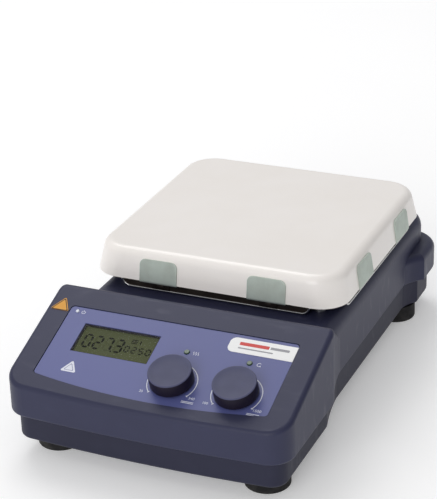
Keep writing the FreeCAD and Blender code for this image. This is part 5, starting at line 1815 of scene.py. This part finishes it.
@dataclass
class PanelPrint:
    """White print, blank name plate and plain triangles of the control panel."""

    shop: Workshop
    axes: PanelAxes
    ink: float = 0.04 * MM
    scale_radius: float = 17.8 * MM
    scale_width: float = 0.7 * MM
    scale_start: float = 223.0
    scale_sweep: float = -257.0
    sign_side: float = 12.6 * MM
    sign_place: tuple[float, float] = (-64.4 * MM, -4.2 * MM)
    lift: float = 0.01 * MM
    stroke_length: float = 1.5 * MM
    highest_place: tuple[float, float] = (18.9 * MM, -11.2 * MM)
    highest_size: float = 3.2 * MM
    lowest_place: tuple[float, float] = (-18.4 * MM, -12.6 * MM)
    lowest_size: float = 2.9 * MM
    caption_bar: tuple[float, float] = (9.0 * MM, 0.5 * MM)
    caption_place: tuple[float, float] = (17.2 * MM, -14.5 * MM)
    caption_pitch: float = 1.1 * MM
    thin: float = 0.42 * MM
    wave_place: tuple[float, float] = (17.8 * MM, 27.3 * MM)
    wave_pitch: float = 1.7 * MM
    wave_swing: float = 0.45 * MM
    wave_step: float = 0.42 * MM
    arrow_place: tuple[float, float] = (5.6 * MM, 28.8 * MM)
    arrow_radius: float = 1.5 * MM
    arrow_tip: tuple[tuple[float, float], ...] = ((-0.7, -0.2), (0.9, -0.5), (0.3, 0.9))
    power_place: tuple[float, float] = (-77.6 * MM, 48.5 * MM)
    power_radius: float = 1.35 * MM
    power_bar: float = 1.9 * MM
    red_bar: tuple[float, float, float] = (22 * MM, 3.0 * MM, 18.5 * MM)
    grey_bar: tuple[float, float, float] = (14 * MM, 2.2 * MM, 37.5 * MM)
    grey_line: tuple[float, float, float] = (26 * MM, 1.1 * MM, 20.5 * MM)
    upper_drop: float = 5.0 * MM
    lower_drop: float = 9.2 * MM

    def build(self) -> None:
        """Make every printed mark."""
        _, film = self.axes.patch("panel_overlay")
        self.level = film.z
        for name, lowest, highest in (("heat", "25", "340"), ("stir", "100", "1500")):
            self.add_scale(name, lowest, highest)
        self.add_signs()
        self.add_triangle()
        self.add_badge()
        self.add_label_outline()

    def on_film(self) -> Matrix:
        """The move from the origin to the film's face."""
        return self.axes.matrix(0, 0, self.level + self.lift)

    def add_scale(self, name: str, lowest: str, highest: str) -> None:
        """Print the arc round a knob with its end numbers.

        Args:
            name: The knob, heat or stir.
            lowest: The number at the arc's start.
            highest: The number at its end.
        """
        place, _ = joint(name + "_knob_turn")
        base = bpy.data.meshes.new("scale")
        arc = self.shop.scale.run(name + "_scale", base, PRINT_WHITE, {
            "Radius": self.scale_radius, "Start": math.radians(self.scale_start),
            "Sweep": math.radians(self.scale_sweep), "Line Width": self.scale_width, "Thickness": self.ink,
            "Strokes": 2, "Stroke Length": self.stroke_length})
        arc.data.transform(self.axes.matrix(place.x, 0, self.level + self.ink))
        self.shop.hand_over(arc, "housing", "overlay")
        marks = [(highest, self.highest_size, self.highest_place),
                 (lowest, self.lowest_size, self.lowest_place)]
        bodies = []
        for text, size, spot in marks:
            body = numerals(text, size, self.ink)
            bmesh.ops.translate(body, verts=body.verts, vec=(*spot, 0))
            bodies.append(body)
        x, y = self.caption_place
        bodies += [plate(bar(*self.caption_bar, 0.2 * MM, (x, y - self.caption_pitch * k)), self.ink)
                   for k in range(2)]
        piece = self.shop.flat(name + "_numbers", joined(bodies), PRINT_WHITE,
                               self.axes.matrix(place.x, 0, self.level + self.lift))
        self.shop.hand_over(piece, "housing", "overlay")

    def stroke(self, points: Sequence[tuple[float, float]], width: float) -> bmesh.types.BMesh:
        """Print a line of one width through some points.

        Args:
            points: The points.
            width: The line's width.

        Returns:
            The line as a bmesh.
        """
        sides: list[tuple[float, float]] = []
        back: list[tuple[float, float]] = []
        for k, (x, y) in enumerate(points):
            ahead = Vector(points[min(k + 1, len(points) - 1)])
            behind = Vector(points[max(k - 1, 0)])
            along = (ahead - behind).normalized() * (width / 2)
            sides.append((x + along.y, y - along.x))
            back.append((x - along.y, y + along.x))
        return plate(sides + back[::-1], self.ink)

    def add_signs(self) -> None:
        """Plain signs beside the lamps: waves for heat, a turning arrow for stirring, a power mark."""
        bodies = []
        x, y = self.wave_place
        for k in range(3):
            wave = [(x + self.wave_pitch * k + self.wave_swing * math.sin(t * 0.9), y + self.wave_step * t)
                    for t in range(8)]
            bodies.append(self.stroke(wave, self.thin))
        place, _ = joint("stir_knob_turn")
        x, y = place.x + self.arrow_place[0], self.arrow_place[1]
        turn = [(x + self.arrow_radius * math.cos(a), y + self.arrow_radius * math.sin(a))
                for a in (math.radians(40 + 22 * k) for k in range(13))]
        bodies.append(self.stroke(turn, self.thin))
        tip = Vector(turn[-1])
        bodies.append(plate([tuple(tip + Vector(corner) * MM) for corner in self.arrow_tip], self.ink))
        x, y = self.power_place
        power = [(x + self.power_radius * math.sin(a), y + self.power_radius * math.cos(a))
                 for a in (math.radians(40 + 20 * k) for k in range(15))]
        bodies.append(self.stroke(power, self.thin))
        bodies.append(self.stroke([(x, y), (x, y + self.power_bar)], self.thin))
        piece = self.shop.flat("panel_signs", joined(bodies), PRINT_WHITE, self.on_film())
        self.shop.hand_over(piece, "housing", "overlay")

    def add_triangle(self) -> None:
        """A white triangle printed at the left, with a thin inner line."""
        outer = triangle(self.sign_side, 1.0 * MM, self.sign_place)
        ring = triangle(self.sign_side * 0.62, 0.5 * MM, self.sign_place)
        core = triangle(self.sign_side * 0.52, 0.4 * MM, self.sign_place)
        body = joined([plate(outer, self.ink, ring), plate(core, self.ink)])
        piece = self.shop.flat("panel_triangle", body, PRINT_WHITE, self.on_film())
        self.shop.hand_over(piece, "housing", "overlay")

    def add_badge(self) -> None:
        """Plain bars on the blank name plate."""
        low, high = self.axes.patch("badge_plate")
        upper, lower = high.y - self.upper_drop, high.y - self.lower_drop
        red = bar(*self.red_bar[:2], 0.5 * MM, (low.x + self.red_bar[2], upper))
        greys = [bar(*self.grey_bar[:2], 0.4 * MM, (low.x + self.grey_bar[2], upper)),
                 bar(*self.grey_line[:2], 0.3 * MM, (low.x + self.grey_line[2], lower))]
        for title, outlines, finish in (("badge_bar", [red], BADGE_RED), ("badge_lines", greys, BADGE_GREY)):
            body = joined(plate(outline, self.ink) for outline in outlines)
            piece = self.shop.flat(title, body, finish, self.axes.matrix(0, 0, high.z + self.lift))
            self.shop.hand_over(piece, "housing", "badge")

    def add_label_outline(self) -> None:
        """A thin dark outline on the amber triangle."""
        low, high = self.axes.patch("hot_surface_label")
        side = high.x - low.x
        centre = ((low.x + high.x) / 2, low.y + side * math.sqrt(3) / 6)
        outer, inner = triangle(side * 1.02, 0.7 * MM, centre), triangle(side * 0.86, 0.5 * MM, centre)
        body = plate(outer, self.ink, inner)
        piece = self.shop.flat("label_outline", body, LABEL_BLACK,
                               self.axes.matrix(0, 0, high.z + self.lift))
        self.shop.hand_over(piece, "housing", "label")


@dataclass
class Knob:
    """A push-and-turn knob: a black body with a matt face."""

    shop: Workshop
    axes: PanelAxes
    name: str
    taper: float = 0.25 * MM
    chamfer: float = 0.7 * MM
    wall: float = 3.0 * MM
    dish: float = 0.25 * MM
    shaft: float = 3.0 * MM
    hub_wall: float = 2.5 * MM
    hub_foot: float = 2.6 * MM
    hub_top: float = 2.4 * MM

    def build(self) -> None:
        """Turn the knob and set it on its shaft."""
        node = self.name + "_knob"
        place, normal = joint(node + "_turn")
        low, high = reach(node, normal, place)
        corner_low, corner_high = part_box(node)
        radius = (corner_high.x - corner_low.x) / 2
        inner = radius - self.wall
        face = radius - self.taper - self.chamfer
        hub, foot, crown = self.shaft + self.hub_wall, low + self.hub_foot, high - self.hub_top
        profile = [(0, high - self.dish), (face * 0.5, high - self.dish), (face - 0.9 * MM, high - self.dish),
                   (face - 0.35 * MM, high - 0.04 * MM), (face, high),
                   (radius - self.taper - 0.2 * MM, high - 0.25 * MM),
                   (radius - self.taper, high - self.chamfer), (radius - 0.06 * MM, low + 0.8 * MM),
                   (radius, low + 0.35 * MM), (radius - 0.35 * MM, low), (inner, low),
                   (inner, high - self.wall), (hub, high - self.wall), (hub, foot), (self.shaft, foot),
                   (self.shaft, crown), (0, crown)]
        mesh = turned(node + "_body", profile)
        top = TurnedTop("knob_face_" + self.name, tint(74, 76, 104), 0.48, tuple(place), self.axes.slope)
        mesh.materials.append(KNOB_SIDE.material())
        mesh.materials.append(top.material())
        for polygon in mesh.polygons:
            if polygon.normal.z > 0.3 and polygon.center.z > high - self.wall / 2:
                polygon.material_index = 1
        mesh.transform(self.axes.matrix(place.x, 0, 0))
        piece = link(node + "_body", mesh)
        self.shop.hand_over(piece, self.name + "_dial", "knob_plastic", node)


@dataclass
class RearPanel:
    """Blades, contacts and switch marks of the rear panel."""

    shop: Workshop
    blade: tuple[float, float, float] = (2.1 * MM, 4.1 * MM, 15.0 * MM)
    contact: float = 0.95 * MM
    pitch: float = 2.77 * MM
    row_gap: float = 2.8 * MM
    rocker_slope: float = 13.2
    rocker_tip: float = 8.0
    rocker_dip: float = 3.4 * MM
    rocker_half: float = 5.6 * MM
    mouth_rise: float = 4.4 * MM
    blade_back: float = 17.95 * MM
    blade_places: tuple[tuple[float, float], ...] = ((-7.0, -2.0), (0.0, 2.0), (7.0, -2.0))

    def build(self) -> None:
        """Make the blades, the contacts and the marks."""
        self.add_blades()
        self.add_contacts()
        self.add_marks()

    def add_blades(self) -> None:
        """Plated sleeves on the inlet's three blades."""
        low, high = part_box("mains_inlet")
        centre_x = (low.x + high.x) / 2
        width, height, length = self.blade
        outline = bar(width, height, 0.4 * MM, (0, 0))
        blank = link("blade", mesh_of(plate(outline, length), "blade"))
        bevelled(blank, 0.25 * MM)
        stamp = blank.data
        bpy.data.objects.remove(blank)
        stamp.transform(Matrix.Rotation(-math.pi / 2, 4, "X"))
        middle = (low.z + high.z) / 2 + self.mouth_rise
        spots = [Spot(Vector((centre_x + x * MM, high.y - self.blade_back, middle + z * MM)))
                 for x, z in self.blade_places]
        piece = self.shop.stamping.press("inlet_blade_set", stamp, spots, NICKEL)
        self.shop.hand_over(piece, "housing", "connector_metal")

    def add_contacts(self) -> None:
        """Gold contacts in the nine holes of the serial port."""
        low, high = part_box("serial_port")
        centre = (low + high) / 2
        radius = self.contact / 2
        profile = [(0, 0.4 * MM), (radius * 0.4, 0.4 * MM), (radius * 0.5, 1.0 * MM), (radius, 1.2 * MM),
                   (radius, 0), (0, 0)]
        stamp = turned("contact", profile, 16)
        stamp.transform(Matrix.Rotation(-math.pi / 2, 4, "X"))
        _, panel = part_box("rear_panel")
        spots = []
        for count, rise in ((5, self.row_gap / 2), (4, -self.row_gap / 2)):
            for k in range(count):
                x = centre.x + self.pitch * (k - (count - 1) / 2)
                spots.append(Spot(Vector((x, panel.y + 0.55 * MM, centre.z + rise))))
        piece = self.shop.stamping.press("serial_contact_set", stamp, spots, GOLD)
        self.shop.hand_over(piece, "housing", "connector_metal")

    def rocker_face(self, end: int) -> Matrix:
        """Place on one half of the rocker's hollow face.

        Args:
            end: 1 for the lower half, -1 for the upper one.

        Returns:
            The move from a mesh about the origin to that face.
        """
        pivot, _ = joint("power_switch")
        slope = math.radians(self.rocker_slope)
        along = self.rocker_half
        to_rear = Matrix(((1, 0, 0, 0), (0, 0, 1, 0), (0, -1, 0, 0), (0, 0, 0, 1)))
        tip = Matrix.Rotation(math.radians(self.rocker_tip), 4, "X")
        lift = self.rocker_dip + along * math.tan(slope) + 0.02 * MM
        seat = Matrix.Translation((0, end * along, lift)) @ Matrix.Rotation(end * slope, 4, "X")
        return Matrix.Translation(pivot) @ to_rear @ tip @ seat

    def add_marks(self) -> None:
        """A bar and a ring on the rocker."""
        thick = 0.05 * MM
        on = plate(bar(0.8 * MM, 4.4 * MM, 0.3 * MM, (0, 0)), thick)
        ring = [[(r * math.cos(a), r * math.sin(a)) for a in (2 * math.pi * k / 32 for k in range(32))]
                for r in (2.3 * MM, 1.6 * MM)]
        off = plate(ring[0], thick, ring[1])
        bodies = []
        for body, end in ((on, -1), (off, 1)):
            bmesh.ops.transform(body, matrix=self.rocker_face(end), verts=body.verts)
            bodies.append(body)
        piece = self.shop.flat("rocker_marks", joined(bodies), PRINT_WHITE, Matrix.Identity(4))
        self.shop.hand_over(piece, "power_rocker", "rocker_plastic")


def dress_nodes() -> None:
    """Give every CAD node that shows its finish."""
    for name, finish in NODE_FINISH.items():
        for slot in frame["nodes"][name].material_slots:
            slot.material = finish.material()
    LOG.info("dressed %d nodes", len(NODE_FINISH))


def main() -> None:
    """Build the sub-assemblies in order."""
    logging.basicConfig(level=logging.INFO, format="%(name)s: %(message)s")
    Studio().build()
    dress_nodes()
    shop = Workshop()
    axes = PanelAxes.of_record()
    Casing(shop).build()
    HotPlate(shop).build()
    Display(shop, axes).build()
    PanelPrint(shop, axes).build()
    for name in ("heat", "stir"):
        Knob(shop, axes, name).build()
    RearPanel(shop).build()


if __name__ == "__main__":
    main()
